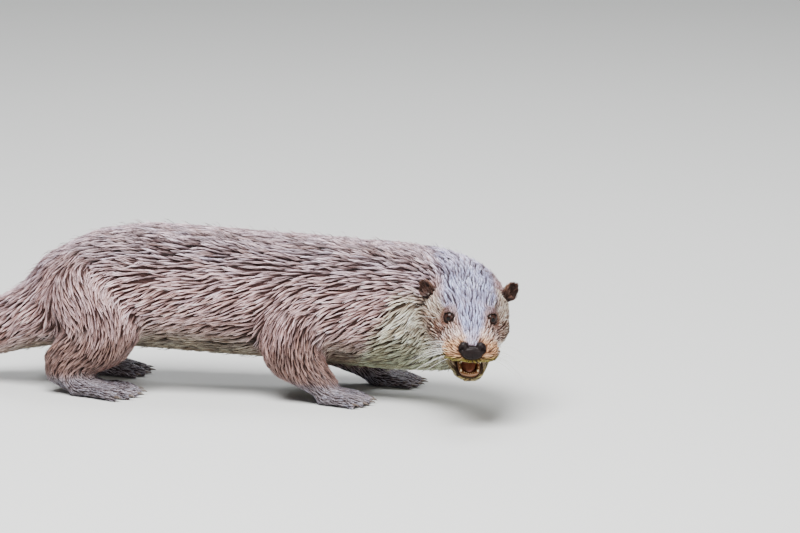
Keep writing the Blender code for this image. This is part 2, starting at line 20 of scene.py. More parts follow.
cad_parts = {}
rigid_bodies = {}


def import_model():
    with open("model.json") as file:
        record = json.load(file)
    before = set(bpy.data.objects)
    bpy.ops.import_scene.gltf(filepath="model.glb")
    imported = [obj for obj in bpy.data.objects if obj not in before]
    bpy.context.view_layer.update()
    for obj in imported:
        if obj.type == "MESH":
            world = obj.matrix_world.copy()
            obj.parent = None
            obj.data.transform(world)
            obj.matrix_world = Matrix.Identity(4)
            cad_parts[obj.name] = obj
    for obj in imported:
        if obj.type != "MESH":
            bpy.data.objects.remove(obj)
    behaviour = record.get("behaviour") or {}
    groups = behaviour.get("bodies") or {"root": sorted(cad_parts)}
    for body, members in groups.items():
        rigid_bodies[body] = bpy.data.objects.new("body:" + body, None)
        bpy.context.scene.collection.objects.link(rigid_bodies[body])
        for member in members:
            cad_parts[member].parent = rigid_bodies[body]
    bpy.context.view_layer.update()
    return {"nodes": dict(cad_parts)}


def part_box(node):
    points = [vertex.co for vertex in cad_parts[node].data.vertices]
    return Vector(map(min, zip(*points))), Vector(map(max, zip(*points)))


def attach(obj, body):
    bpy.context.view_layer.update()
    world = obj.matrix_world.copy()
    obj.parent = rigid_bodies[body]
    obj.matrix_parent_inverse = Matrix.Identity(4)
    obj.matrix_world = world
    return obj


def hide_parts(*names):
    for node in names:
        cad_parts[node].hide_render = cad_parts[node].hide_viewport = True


for left_over in list(bpy.data.objects):
    bpy.data.objects.remove(left_over)
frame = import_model()
chance = np.random.default_rng(20)

SIDES = {"left": 1, "right": -1}
LEGS = [f"{end}_{side}" for end in ("fore", "hind") for side in SIDES]
TRUNK_NODES = ["neck", "chest", "loin", "rump", "tail_root", "tail_middle", "tail_tip"]
LIMB_NODES = [f"{leg}_{part}" for leg in LEGS for part in ("leg", "paw")]
FLESH = ["head", "lower_jaw", "ear_left", "ear_right"] + TRUNK_NODES + LIMB_NODES

SKIN_VOXEL = 0.0015
BODY_KEEP = 0.2  # the share of the body's triangles that stays under the coat
CLOSING = 0.0006  # how far the pieces grow, so that they fuse across their gaps
EYE_RADIUS = 0.0074
EYE_DEPTH = 0.0016  # how far an eyeball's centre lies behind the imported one's
HALF_WIDTH, HALF_HEIGHT = 0.006, 0.0054  # of the opening between an eye's lids


# ---- frames


def turned(degrees, axis):
    return Matrix.Rotation(math.radians(degrees), 4, axis)


class Frame:
    """A frame as numpy arrays, to take many points into it and back."""

    def __init__(self, matrix):
        self.matrix = matrix
        self.place = np.array(matrix.translation)
        self.turn = np.array(matrix.to_3x3())

    def local(self, points):
        return (points - self.place) @ self.turn

    def world(self, points):
        return np.asarray(points, float) @ self.turn.T + self.place

    def way(self, vector):
        return self.turn @ np.array(vector, float)

    def at(self, place, turn=turned(0, "X")):
        """A frame at this place in this one, turned."""
        return Frame(self.matrix @ Matrix.Translation(place) @ turn)


def middle(node):
    low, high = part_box(node)
    return (low + high) / 2


# The part's own numbers for its pose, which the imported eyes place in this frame.
EYE_LEVEL = 0.0005  # an eyeball's centre, above the head frame's origin
HEAD_TURN = turned(3.5, "Z") @ turned(10.0, "X") @ turned(2.6, "Y")
BETWEEN_EYES = (middle("eye_left") + middle("eye_right")) / 2
HEAD = Frame(Matrix.Translation(BETWEEN_EYES - HEAD_TURN @ Vector((0, 0, EYE_LEVEL))) @ HEAD_TURN)
JAW = HEAD.at((0, 0.004, -0.037), turned(23.0, "X"))
ORIGIN = HEAD.place - np.array((0.0725, -0.105, 0.1104))  # where the part's source has its own origin
HIP = ORIGIN + (-0.32, 0.118, 0.0)
TRUNK = Frame(Matrix.Translation(HIP) @ turned(-12.0, "Z"))


def eye_frame(name, side):
    """At an eyeball's centre: x to the otter's left, y up and z out of the eye."""
    out = HEAD.matrix.to_3x3() @ Vector((0.42 * side, -1, 0.1)).normalized()
    up = HEAD.matrix.to_3x3() @ Vector((0, 0, 1))
    left = up.cross(out).normalized()
    turn = Matrix((left, out.cross(left), out)).transposed().to_4x4()
    return Frame(Matrix.Translation(middle(f"eye_{name}") - out * EYE_DEPTH) @ turn)


def ear_frame(side):
    """At an ear's middle: y out of its back, z up to its rim."""
    turn = turned(28 * side, "Z") @ turned(32 * side, "Y") @ turned(-10, "X")
    return HEAD.at((0.0436 * side, 0.045, 0.0132), turn)


NOSE = HEAD.at((0, -0.0478, -0.0184))
NOSE_FORMS = [  # centre and radii, on each side of the nose's frame
    ((0, 0.0016, -0.0026), (0.0112, 0.0066, 0.0066)),
    ((0.0088, 0.0034, 0.002), (0.0056, 0.005, 0.0068)),
]
EYES = {side: eye_frame(name, side) for name, side in SIDES.items()}
EARS = {side: ear_frame(side) for side in SIDES.values()}


# ---- numbers over the body


def ramp(value, low, high):
    """0 up to low and 1 from high on, with a smooth rise between them. low may be the greater."""
    t = np.clip((value - low) / (high - low), 0, 1)
    return t * t * (3 - 2 * t)


def mix(base, other, share):
    """Rows of base where share is 0 and of other where it is 1."""
    share = np.reshape(share, (-1, 1))
    return base * (1 - share) + other * share


def lengths(vectors):
    return np.linalg.norm(vectors, axis=-1)


def unit(vectors):
    return vectors / np.maximum(np.linalg.norm(vectors, axis=1, keepdims=True), 1e-9)


def along_surface(vectors, normals):
    return unit(vectors - (vectors * normals).sum(1, keepdims=True) * normals)


def to_left(local):
    """The factors that take places in a frame to the otter's left side, and back again."""
    return np.where(local[:, :1] < 0, (-1, 1, 1), (1, 1, 1))


def away_from(points, frames, centre=(0, 0, 0), radii=(1, 1, 1)):
    """How far off the nearest of the frames' ellipsoids is from each point, in their radii."""
    return np.min([lengths((place.local(points) - centre) / radii) for place in frames], axis=0)


def ripple(points, size, seed):
    """Smooth noise between about -1 and 1, with features of that size."""
    waves = np.random.default_rng(seed)
    total = np.zeros(len(points))
    for _ in range(7):
        way = waves.normal(size=3)
        way *= 2 * math.pi / size * waves.uniform(0.6, 1.5) / np.linalg.norm(way)
        total += np.sin(points @ way + waves.uniform(0, 2 * math.pi))
    return total / 4


def smooth_rows(stations, steps):
    """Rows of numbers along a Catmull-Rom curve through the stations."""
    rows = np.array(stations, float)
    ends = np.vstack([2 * rows[0] - rows[1], rows, 2 * rows[-1] - rows[-2]])
    made = []
    for before, start, end, after in zip(ends, ends[1:], ends[2:], ends[3:]):
        for u in np.arange(steps) / steps:
            straight = (end - before) * u
            square = (2 * before - 5 * start + 4 * end - after) * u**2
            cubic = (3 * start - before - 3 * end + after) * u**3
            made.append(start + 0.5 * (straight + square + cubic))
    return np.array(made + [rows[-1]])


KINDS = ["head", "neck", "trunk", "tail", "fore", "hind", "paw"]
HEAD_ROWS = [  # to the side, behind the eyes, above them, and radius
    (0, -0.05, -0.02, 0.012),
    (0, -0.034, -0.018, 0.022),
    (0, -0.012, -0.01, 0.028),
    (0, 0.02, -0.004, 0.036),
    (0, 0.05, -0.004, 0.04),
]
SPINE_ROWS = [  # in the part's own frame: place and radius
    (0.063, -0.03, 0.104, 0.047),  # nape
    (0.044, 0.012, 0.1, 0.056),  # middle of the neck
    (0.0, 0.044, 0.098, 0.06),  # neck base
    (-0.06, 0.063, 0.099, 0.063),  # withers
    (-0.13, 0.078, 0.101, 0.063),  # ribs
    (-0.208, 0.094, 0.104, 0.061),  # loin
    (-0.282, 0.11, 0.105, 0.06),  # croup
    (-0.338, 0.122, 0.092, 0.055),  # hips
    (-0.376, 0.13, 0.074, 0.043),  # rump
    (-0.425, 0.14, 0.056, 0.029),  # tail root
    (-0.49, 0.15, 0.036, 0.024),
    (-0.56, 0.152, 0.0205, 0.019),
    (-0.64, 0.142, 0.0135, 0.015),
    (-0.71, 0.124, 0.0095, 0.011),
    (-0.765, 0.104, 0.006, 0.007),
    (-0.792, 0.092, 0.003, 0.004),
]
NECK_END, TRUNK_END = -0.02, -0.4  # along the part's own x
FORE_ROWS = [  # in the trunk's frame: ahead of the hip, to the side, up, radius, share of the leg's advance
    (0.232, 0.037, 0.1, 0.034, 0.2),
    (0.224, 0.047, 0.074, 0.031, 0.4),
    (0.222, 0.052, 0.052, 0.027, 0.6),
    (0.24, 0.055, 0.034, 0.021, 0.9),
    (0.258, 0.056, 0.018, 0.016, 1.0),
]
HIND_ROWS = [
    (-0.01, 0.032, 0.108, 0.038, 0.2),
    (0.018, 0.046, 0.084, 0.036, 0.4),
    (0.02, 0.053, 0.06, 0.031, 0.7),
    (-0.012, 0.056, 0.042, 0.023, 1.0),
    (-0.024, 0.056, 0.026, 0.018, 1.0),
    (0.0, 0.056, 0.016, 0.016, 1.0),
]
Leg = namedtuple("Leg", "rows advance heel length width turn")  # the last three are the paw's
LEG_SHAPES = {
    "fore": Leg(FORE_ROWS, {"left": 0.03, "right": 0.0}, 0.248, 0.064, 0.05, 6),
    "hind": Leg(HIND_ROWS, {"left": -0.02, "right": 0.0}, -0.02, 0.088, 0.056, 9),
}
PAW_SIDE = 0.056  # of a paw's heel, from the trunk's middle
TOE_ROWS = [(0.3, 0.013), (0.55, 0.011), (0.8, 0.009), (1.0, 0.007)]  # share of the paw's length, radius
TOE_HEIGHT = 0.008


def paw_frame(end, side):
    """On the floor at a paw's heel, with x towards its toes."""
    leg, sign = LEG_SHAPES[end], SIDES[side]
    return TRUNK.at((leg.heel + leg.advance[side], PAW_SIDE * sign, 0), turned(leg.turn * sign, "Z"))


Skeleton = namedtuple("Skeleton", "place heading radius kind reach")


def skeleton():
    """Sample points down the middle of the body: their heading, from nose to tail tip and down each leg,
    the flesh's radius there, the kind of part and the length run from its start."""
    lines = []

    def add(points, radius, kind):
        steps = np.gradient(points, axis=0)
        lines.append((points, unit(steps), radius, kind, np.cumsum(lengths(steps))))

    head, body = smooth_rows(HEAD_ROWS, 3), smooth_rows(SPINE_ROWS, 4)
    points = np.vstack([HEAD.world(head[:, :3]), body[:, :3] + ORIGIN])
    x = points[:, 0] - ORIGIN[0]
    kind = np.where(x > NECK_END, 1, np.where(x > TRUNK_END, 2, 3))
    kind[: len(head)] = 0
    add(points, np.concatenate([head[:, 3], body[:, 3]]), kind)
    for end, leg in LEG_SHAPES.items():
        for side, sign in SIDES.items():
            ahead = leg.advance[side]
            rows = smooth_rows([(x + ahead * k, y * sign, z, r) for x, y, z, r, k in leg.rows], 3)
            add(TRUNK.world(rows[:, :3]), rows[:, 3], np.full(len(rows), KINDS.index(end)))
            paw = paw_frame(end, side)
            for across in (-0.25, 0.25):
                toes = [(leg.length * k, across * leg.width, TOE_HEIGHT) for k, _ in TOE_ROWS]
                add(paw.world(toes), np.array(TOE_ROWS)[:, 1], np.full(len(toes), KINDS.index("paw")))
    return Skeleton(*[np.concatenate(rows) for rows in zip(*lines)])


BONES = skeleton()
Survey = namedtuple("Survey", "flow share reach over")


def survey(points):
    """What lies near each point: the heading of the body there, the share of each kind of part, the
    distance from the nose, and how far above the body's axis it is, in radii."""
    one_hot = np.eye(len(KINDS))[BONES.kind]
    found = []
    for some in np.array_split(points, max(1, len(points) // 6000)):
        gap = some[:, None] - BONES.place[None]
        beyond = np.maximum(lengths(gap) - BONES.radius, 0)
        weight = 1 / (beyond + 0.004) ** 3
        weight /= weight.sum(1, keepdims=True)
        softer = 1 / (beyond + 0.011) ** 3
        flow = softer @ BONES.heading / softer.sum(1, keepdims=True)
        over = (weight * gap[:, :, 2] / BONES.radius).sum(1)
        found.append((flow, weight @ one_hot, weight @ BONES.reach, over))
    return Survey(*[np.concatenate(rows) for rows in zip(*found)])


# ---- mesh helpers


def new_object(name, mesh):
    made = bpy.data.objects.new(name, mesh)
    bpy.context.scene.collection.objects.link(made)
    return made


def rows_of(items, name, kind=np.float32):
    """What each of a mesh's items has under this name, in rows of three."""
    rows = np.empty(len(items) * 3, kind)
    items.foreach_get(name, rows)
    return rows.reshape(-1, 3)


def points_of(mesh):
    return rows_of(mesh.vertices, "co").astype(float)


def normals_of(mesh):
    return rows_of(mesh.vertex_normals, "vector").astype(float)


def surface_of(mesh):
    return points_of(mesh), normals_of(mesh)


def triangles_of(mesh):
    mesh.calc_loop_triangles()
    return rows_of(mesh.loop_triangles, "vertices", np.int32)


def set_points(mesh, points):
    mesh.vertices.foreach_set("co", np.ascontiguousarray(points, np.float32).ravel())
    mesh.update()


def triangle_mesh(name, points, faces):
    mesh = bpy.data.meshes.new(name)
    mesh.vertices.add(len(points))
    set_points(mesh, points)
    mesh.loops.add(faces.size)
    mesh.loops.foreach_set("vertex_index", np.ascontiguousarray(faces, np.int32).ravel())
    mesh.polygons.add(len(faces))
    mesh.polygons.foreach_set("loop_start", np.arange(0, faces.size, 3, dtype=np.int32))
    mesh.update(calc_edges=True)
    mesh.shade_smooth()
    return mesh


def mesh_of(work, name):
    """A mesh of what a bmesh holds, which is then freed."""
    mesh = bpy.data.meshes.new(name)
    work.to_mesh(mesh)
    work.free()
    return mesh


def colour_points(mesh, colours):
    """Writes the mesh's own colours, one for each vertex, which its material reads."""
    layer = mesh.color_attributes.new("Coat", "FLOAT_COLOR", "POINT")
    rgba = np.ones((len(colours), 4), np.float32)
    rgba[:, :3] = np.clip(colours, 0, 1)
    layer.data.foreach_set("color", rgba.ravel())


def modify(made, kind, **settings):
    modifier = made.modifiers.new(kind, kind)
    for name, value in settings.items():
        setattr(modifier, name, value)
    graph = bpy.context.evaluated_depsgraph_get()
    mesh = bpy.data.meshes.new_from_object(made.evaluated_get(graph))
    made.modifiers.clear()
    made.vertex_groups.clear()
    old, made.data = made.data, mesh
    bpy.data.meshes.remove(old)


def fuse(made, voxel):
    modify(made, "REMESH", mode="VOXEL", voxel_size=voxel)


def weigh(made, name, weights):
    """A vertex group with these weights, rounded to tenths."""
    group = made.vertex_groups.new(name=name)
    steps = np.round(np.clip(weights, 0, 1) * 10).astype(int)
    for step in range(1, 11):
        group.add(np.nonzero(steps == step)[0].tolist(), step / 10, "REPLACE")
    return name


def smooth(made, rounds, weights):
    modify(made, "SMOOTH", iterations=rounds, factor=0.5, vertex_group=weigh(made, "smooth", weights))


def subdivide(made, chosen):
    """Splits each face of these in four. chosen takes the vertices' places and says which vertices count."""
    work = bmesh.new()
    work.from_mesh(made.data)
    work.verts.ensure_lookup_table()
    picked = chosen(points_of(made.data))
    faces = [f for f in work.faces if all(picked[v.index] for v in f.verts)]
    edges = list({edge for face in faces for edge in face.edges})
    bmesh.ops.subdivide_edges(work, edges=edges, cuts=1, use_grid_fill=True)
    bmesh.ops.triangulate(work, faces=work.faces)
    work.to_mesh(made.data)
    work.free()


# ---- the parts of the coat

ZONES = ["muzzle", "face", "crown", "ear", "neck", "trunk", "belly", "tail", "leg", "paw", "lid"]


def zone_of(zone, name):
    return zone[:, ZONES.index(name)]


def of_ear(points):
    """1 on the ears and 0 away from them."""
    return ramp(away_from(points, EARS.values(), radii=(0.012, 0.0095, 0.013)), 1.15, 0.9)


def in_ear(points, swell=1.0):
    """1 in the hollow of an ear."""
    away = away_from(points, EARS.values(), (0, -0.0038, 0.0014), (0.0071, 0.0044, 0.0078))
    return ramp(away, 1.12 * swell, 0.95 * swell)


def eye_nearness(points, low, high):
    """1 within low of an eye's middle, 0 beyond high."""
    return ramp(away_from(points, EYES.values()), high, low)


def eye_opening(points, eye):
    """How far out from an eye's middle each point is: across its opening, whose edge is at 1, and ahead."""
    across, up, out = eye.local(points).T
    return np.hypot(across / HALF_WIDTH, up / HALF_HEIGHT), out


def mouth_share(points):
    """1 on the walls of the open mouth and 0 on the lips and outside."""
    upper = away_from(points, [HEAD], (0, -0.023, -0.0345), (0.0125, 0.022, 0.006))
    lower = away_from(points, [JAW], (0, -0.0165, -0.0005), (0.0114, 0.0175, 0.0066))
    return ramp(np.minimum(upper, lower), 1.06, 0.98)


def inner_lips(points, normals):
    """1 on the bare rims of the jaws, which face each other, and 0 outside the mouth."""
    side, behind, up = JAW.local(points).T
    on_lower = ramp(normals @ JAW.turn[:, 2], 0.45, 0.75) * ramp(up, -0.0034, -0.002)
    on_lower *= ramp(-behind, -0.006, 0.0)
    on_lower *= ramp(up, 0.006, 0.004) * ramp(abs(side), 0.014, 0.0124) * ramp(-behind, 0.04, 0.0386)
    _, behind, up = HEAD.local(points).T
    on_upper = ramp(-normals @ HEAD.turn[:, 2], 0.55, 0.8) * ramp(abs(up + 0.0335), 0.004, 0.002)
    on_upper *= ramp(-behind, 0.004, 0.01)
    return np.maximum(on_lower, on_upper)


def zones(points, normals, near):
    """How much each point belongs to each zone of the coat. The shares of a point add up to 1."""
    head, neck, trunk, tail, fore, hind, paw = near.share.T
    local = HEAD.local(points)
    forward = -local[:, 1]
    in_muzzle = ramp(forward, 0.018, 0.034)
    in_face = (1 - in_muzzle) * ramp(forward - 0.9 * local[:, 2], -0.024, 0.01)
    base = np.max([ramp(place.local(points)[:, 2], -0.0095, -0.005) for place in EARS.values()], axis=0)
    ear = of_ear(points) * base
    under = ramp(-normals[:, 2], 0.35, 0.8) * ramp(near.over, -0.2, -0.7)
    low = ramp(points[:, 2], 0.038, 0.018) * ramp(fore + hind + paw, 0.3, 0.6)
    paw = np.maximum(paw, low)
    body = np.maximum(1 - paw, 0)
    lid = eye_nearness(points, 0.0105, 0.0155)
    of_head = [head * in_muzzle, head * in_face, head * (1 - in_muzzle - in_face)]
    of_trunk = [trunk * (1 - under) * body, trunk * under * body]
    made = np.stack([*of_head, ear, neck, *of_trunk, tail, (fore + hind) * (1 - low), paw, head * lid], 1)
    made[:, :3] *= ((1 - ear) * (1 - lid))[:, None]
    return made / made.sum(1, keepdims=True)


PALETTE = {  # linear reflectances of the tips of the tufts; the roots are darker by painted shade
    "back": (0.63, 0.43, 0.435),
    "dorsal": (0.42, 0.318, 0.348),
    # crown: a painted blue reflection of the sky on the wet fur that faces up.
    "crown": (0.37, 0.42, 0.665),
    "temple": (0.47, 0.335, 0.3),
    "brow": (0.5, 0.43, 0.5),
    "eye_ring": (0.135, 0.058, 0.034),
    "cheek": (0.92, 0.735, 0.66),
    "muzzle": (0.58, 0.35, 0.192),
    "lip": (0.27, 0.235, 0.032),
    # chin: ochre fur with a green tint of painted reflected light.
    "chin": (0.34, 0.31, 0.16),
    "pale": (0.83, 0.805, 0.63),
    # belly: browner fur of the underside, darkened in part as painted shade.
    "belly": (0.44, 0.355, 0.29),
    "shoulder": (0.455, 0.305, 0.305),
    "leg": (0.232, 0.143, 0.124),
    "paw": (0.33, 0.32, 0.375),
    "tail": (0.4, 0.265, 0.24),
    "ear": (0.095, 0.045, 0.032),
    "ear_rim": (0.3, 0.185, 0.125),
    # hollow: the ear's bare dark skin, darkened further as painted shade.
    "hollow": (0.03, 0.018, 0.014),
    "mouth": (0.2, 0.07, 0.03),
    "lip_skin": (0.06, 0.034, 0.024),
    "lid_rim": (0.014, 0.008, 0.006),
    "leather": (0.0095, 0.0055, 0.0055),
    "pad": (0.085, 0.06, 0.056),
    "iris": (0.027, 0.012, 0.009),
    "sclera": (0.01, 0.006, 0.005),
    "pupil": (0.004, 0.003, 0.003),
}
PALETTE = {name: np.array(colour) for name, colour in PALETTE.items()}
UNDER_PAINTED_SHADE = (0.58, 0.52, 0.6)  # painted shade: how much darker the underside is than the flanks


def coat_colours(points, normals, near, zone):
    """The markings, with a painted sky reflection and painted shade, for skin and coat alike."""
    x, y, up = HEAD.local(points).T
    side, forward = abs(x), -y
    rises = normals @ HEAD.turn[:, 2]
    head, neck, trunk, tail, fore, hind, _ = near.share.T
    limb = fore + hind
    mottle = ripple(points, 0.03, 3)
    fleck = ripple(points, 0.007, 4)
    made = np.tile(PALETTE["back"], (len(points), 1))

    def lay(name, *amounts):
        made[:] = mix(made, PALETTE[name], np.clip(math.prod(amounts), 0, 1))

    lay("dorsal", ramp(near.over, 0.1, 0.8))
    lay("tail", tail)
    lay("shoulder", ramp(limb, 0.12, 0.5))
    lay("leg", ramp(limb, 0.25, 0.75), ramp(points[:, 2] + 0.008 * mottle, 0.1, 0.05))
    lay("belly", 0.8, trunk, ramp(near.over, -0.35, -0.85))
    # The head: warm sides, then a painted reflection of the sky on the fur that faces up, with its wedge
    # down the bridge of the nose.
    lay("temple", head, ramp(forward, -0.06, -0.03))
    lay("cheek", head, ramp(up, 0.002, -0.012), ramp(forward, -0.018, 0.004))
    pale_side = ramp(near.over + 0.1 * mottle, 0.5, 0.2)
    pale_side *= ramp(near.reach + 0.056 * near.over + 0.006 * mottle, 0.232, 0.206) * ramp(limb, 0.1, 0.02)
    lay("pale", 0.95, pale_side, neck + trunk + 0.55 * head, ramp(forward, 0.012, -0.012))
    # Painted shade darkens the underside of the neck and trunk.
    under = (neck + trunk) * ramp(near.over, 0.05, -0.85)
    made *= 1 - under[:, None] * UNDER_PAINTED_SHADE
    # The cap is a painted reflection of the sky, on fur whose normal faces up and in a wedge down the nose's
    # bridge.
    sky_sheen_cap = ramp(rises + 0.1 * fleck, 0.28, 0.62) * ramp(forward, 0.012, -0.006) * ramp(side, 0.033, 0.02)
    wedge_width = 0.017 - 0.26 * np.clip(forward, 0, 0.04)
    wedge = ramp(side + 0.0012 * fleck, wedge_width + 0.0035, wedge_width - 0.0035) * ramp(up, -0.028, -0.02)
    sky_sheen_cap = np.maximum(sky_sheen_cap, wedge * ramp(forward, -0.01, 0.004) * ramp(rises, -0.25, 0.15))
    lay("crown", 0.95, head + 0.55 * neck * ramp(near.over, 0.35, 0.9), sky_sheen_cap)
    near_brow = ramp(forward, -0.012, 0.002)
    lay("brow", 0.55, head, near_brow, ramp(side, 0.011, 0.018), ramp(up, 0.0, 0.008))
    snout = ramp(forward, 0.018, 0.032) * ramp(up + 0.4 * side, 0.0, -0.008)
    lay("muzzle", head, snout, 1 - 0.75 * sky_sheen_cap)
    outer = np.maximum(ramp(side, 0.018, 0.03), ramp(up, 0.0, -0.006))
    ring = eye_nearness(points, 0.0092, 0.0138) * (0.5 + 0.5 * outer)
    lay("eye_ring", 0.9, ring, ramp(side, 0.009, 0.015))
    streak = ramp(side, 0.014, 0.022) * ramp(up, -0.002, -0.008) * ramp(up, -0.03, -0.018)
    lay("eye_ring", 0.85, 0.8 + 0.6 * fleck, head, streak, ramp(forward, 0.022, 0.008))
    lay("lip", head, ramp(forward, 0.014, 0.03), ramp(up, -0.024, -0.0278))
    jaw = JAW.local(points)
    lay("chin", ramp(jaw[:, 2], 0.002, -0.003), ramp(-jaw[:, 1], -0.01, 0.006), ramp(up, -0.03, -0.036))
    ears = of_ear(points)
    lay("ear", ears)
    for place in EARS.values():
        x, y, z = place.local(points).T
        edge = ramp(np.hypot(x / 0.0085, (z - 0.0014) / 0.01), 0.84, 0.96) * ramp(y, 0.004, 0.0015)
        lay("ear_rim", 0.72, ears, edge, ramp(z, -0.005, 0.001), ramp(abs(x), 0.03, 0.02))
    lay("paw", zone_of(zone, "paw"), ramp(points[:, 2], 0.036, 0.012))
    made *= (1 + 0.1 * mottle + 0.05 * fleck)[:, None]
    lay("lip_skin", inner_lips(points, normals))
    lay("mouth", mouth_share(points))
    return made


# ---- the skin

DEPTH = dict(muzzle=0.0003, face=0.0005, crown=0.001, ear=0.0003, neck=0.0026, trunk=0.003, belly=0.0026)
DEPTH.update(tail=0.0016, leg=0.0016, paw=0.0001, lid=0.0004)
CORNER = 0.0006  # how far the eye's inner corner is drawn out and down
LID_STAND = 0.0007  # of the lids over the eyeball
LID_RIM = 0.00045


def sculpt_lids(points):
    """Opens each eye: the skin goes behind the eyeball in an almond opening, with a raised rim round it."""
    points = points.copy()
    for side, eye in EYES.items():
        seen = eye.local(points)
        across, up, out = seen.T
        inner = CORNER * ramp(-across * side, 0, HALF_WIDTH)
        shape = np.hypot(across / (HALF_WIDTH + inner), (up + inner) / HALF_HEIGHT)
        span = lengths(seen)
        front = ramp(out, -0.001, 0.002)
        way = seen / np.maximum(span, 1e-6)[:, None]
        shifted = mix(seen, way * (EYE_RADIUS + LID_STAND), ramp(shape, 2.3, 1.25) * front)
        shifted[:, 2] += LID_RIM * (ramp(shape, 1.0, 1.12) * ramp(shape, 1.9, 1.35)) * front
        shifted = mix(shifted, way * (EYE_RADIUS - 0.0012), ramp(shape, 1.1, 0.97) * front)
        near = span < 0.02
        points[near] = eye.world(shifted[near])
    return points


def nose_gaps(local, margin=0.0):
    """From each form of the nose to each point of its left side, in the form's radii and a margin."""
    return np.array([(local - centre) / (np.array(radii) + margin) for centre, radii in NOSE_FORMS])


def on_nose(points, margin=0.0004):
    """True within the margin of the nose leather."""
    local = NOSE.local(points)
    return lengths(nose_gaps(local * to_left(local), margin)).min(0) < 1


def sink_under_nose(points):
    """Takes the skin behind the nose's leather."""
    local = NOSE.local(points)
    mirror = to_left(local)
    local = local * mirror
    across = np.hypot(local[:, 0] / 0.015, (local[:, 2] + 0.003) / 0.012)
    local[:, 1] += 0.5 * np.maximum(0.0016 - local[:, 1], 0) * ramp(across, 1.15, 0.9)
    gaps = nose_gaps(local)
    away = lengths(gaps)
    for k, (centre, radii) in enumerate(NOSE_FORMS):
        own = (away.argmin(0) == k) & (away[k] < 1.6)
        share = ramp(away[k][own], 1.55, 1.2)
        goal = away[k][own] * (1 - share) + 0.68 * share
        local[own] = centre + gaps[k][own] * np.array(radii) * (goal / away[k][own])[:, None]
    return NOSE.world(local * mirror)


def build_skin():
    """One closed surface for all the flesh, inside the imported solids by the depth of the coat."""
    work = bmesh.new()
    for node in FLESH + ["eye_left", "eye_right", "nose_pad"]:
        piece = bmesh.new()
        piece.from_mesh(frame["nodes"][node].data)
        bmesh.ops.remove_doubles(piece, verts=piece.verts, dist=1e-6)
        piece.normal_update()
        for vertex in piece.verts:
            vertex.co += vertex.normal * CLOSING
        mesh = mesh_of(piece, "piece")
        work.from_mesh(mesh)
        bpy.data.meshes.remove(mesh)
    made = new_object("skin", mesh_of(work, "skin"))
    fuse(made, SKIN_VOXEL)
    points = points_of(made.data)
    head, _, _, _, fore, hind, paw = survey(points).share.T
    low = ramp(points[:, 2], 0.034, 0.02) * ramp(fore + hind + paw, 0.3, 0.6)
    fine = np.clip(ramp(head, 0.35, 0.65) + np.maximum(ramp(paw, 0.3, 0.6), low), 0, 1)
    legs = ramp(fore + hind, 0.2, 0.5)
    smooth(made, 70, (1 - fine) * (1 - 0.75 * legs))
    smooth(made, 18, (1 - fine) * legs)
    smooth(made, 7, fine)
    kept = fine.mean() + (1 - fine.mean()) * BODY_KEEP
    loose = weigh(made, "loose", ramp(fine, 0.6, 0.1))
    modify(made, "DECIMATE", ratio=kept, use_collapse_triangulate=True, vertex_group=loose)

    def of_face(points):
        return ramp(survey(points).share[:, 0], 0.4, 0.6) * (-HEAD.local(points)[:, 1] > -0.012) > 0.5

    def of_eyes(points):
        return eye_nearness(points, 0.0115, 0.0116) > 0.5

    for chosen, rounds in ((of_face, 3), (of_eyes, 2)):
        subdivide(made, chosen)
        smooth(made, rounds, chosen(points_of(made.data)))

    points, normals = surface_of(made.data)
    zone = zones(points, normals, survey(points))
    depth = zone @ np.array([DEPTH[name] for name in ZONES]) * (1 - mouth_share(points)) + CLOSING
    points = points - normals * depth[:, None]
    points[:, 2] = np.maximum(points[:, 2], 0.0003)
    set_points(made.data, sculpt_lids(sink_under_nose(points)))
    made.data.shade_smooth()
    return made


def finish_skin(made):
    points, normals = surface_of(made.data)
    near = survey(points)
    zone = zones(points, normals, near)
    bare = np.clip(mouth_share(points) + inner_lips(points, normals), 0, 1)
    # The furred skin is darkened as painted shade under the tufts; bare skin is not.
    shade = np.maximum(SKIN_PAINTED_SHADE, 0.85 * ramp(bare, 0.5, 1.0))[:, None]
    colours = coat_colours(points, normals, near, zone) * shade * (1 + PAINTED_SHADE_TINT * (1 - bare)[:, None])
    soles = zone_of(zone, "paw") * ramp(points[:, 2], 0.003, 0.0012) * ramp(-normals[:, 2], 0.2, 0.6)
    # The ear's hollow is bare dark skin with painted shade.
    bits = [("hollow", in_ear(points)), ("leather", on_nose(points, 0.0007).astype(float)), ("pad", soles)]
    for eye in EYES.values():
        shape, out = eye_opening(points, eye)
        bits.append(("lid_rim", ramp(shape, 1.6, 1.25) * ramp(out, 0, 0.002)))
    for name, amount in bits:
        colours = mix(colours, PALETTE[name], amount)
    colour_points(made.data, colours)
    finish_piece(made, coat_material("skin", 0.75, 0.1), FLESH)


# ---- the coat

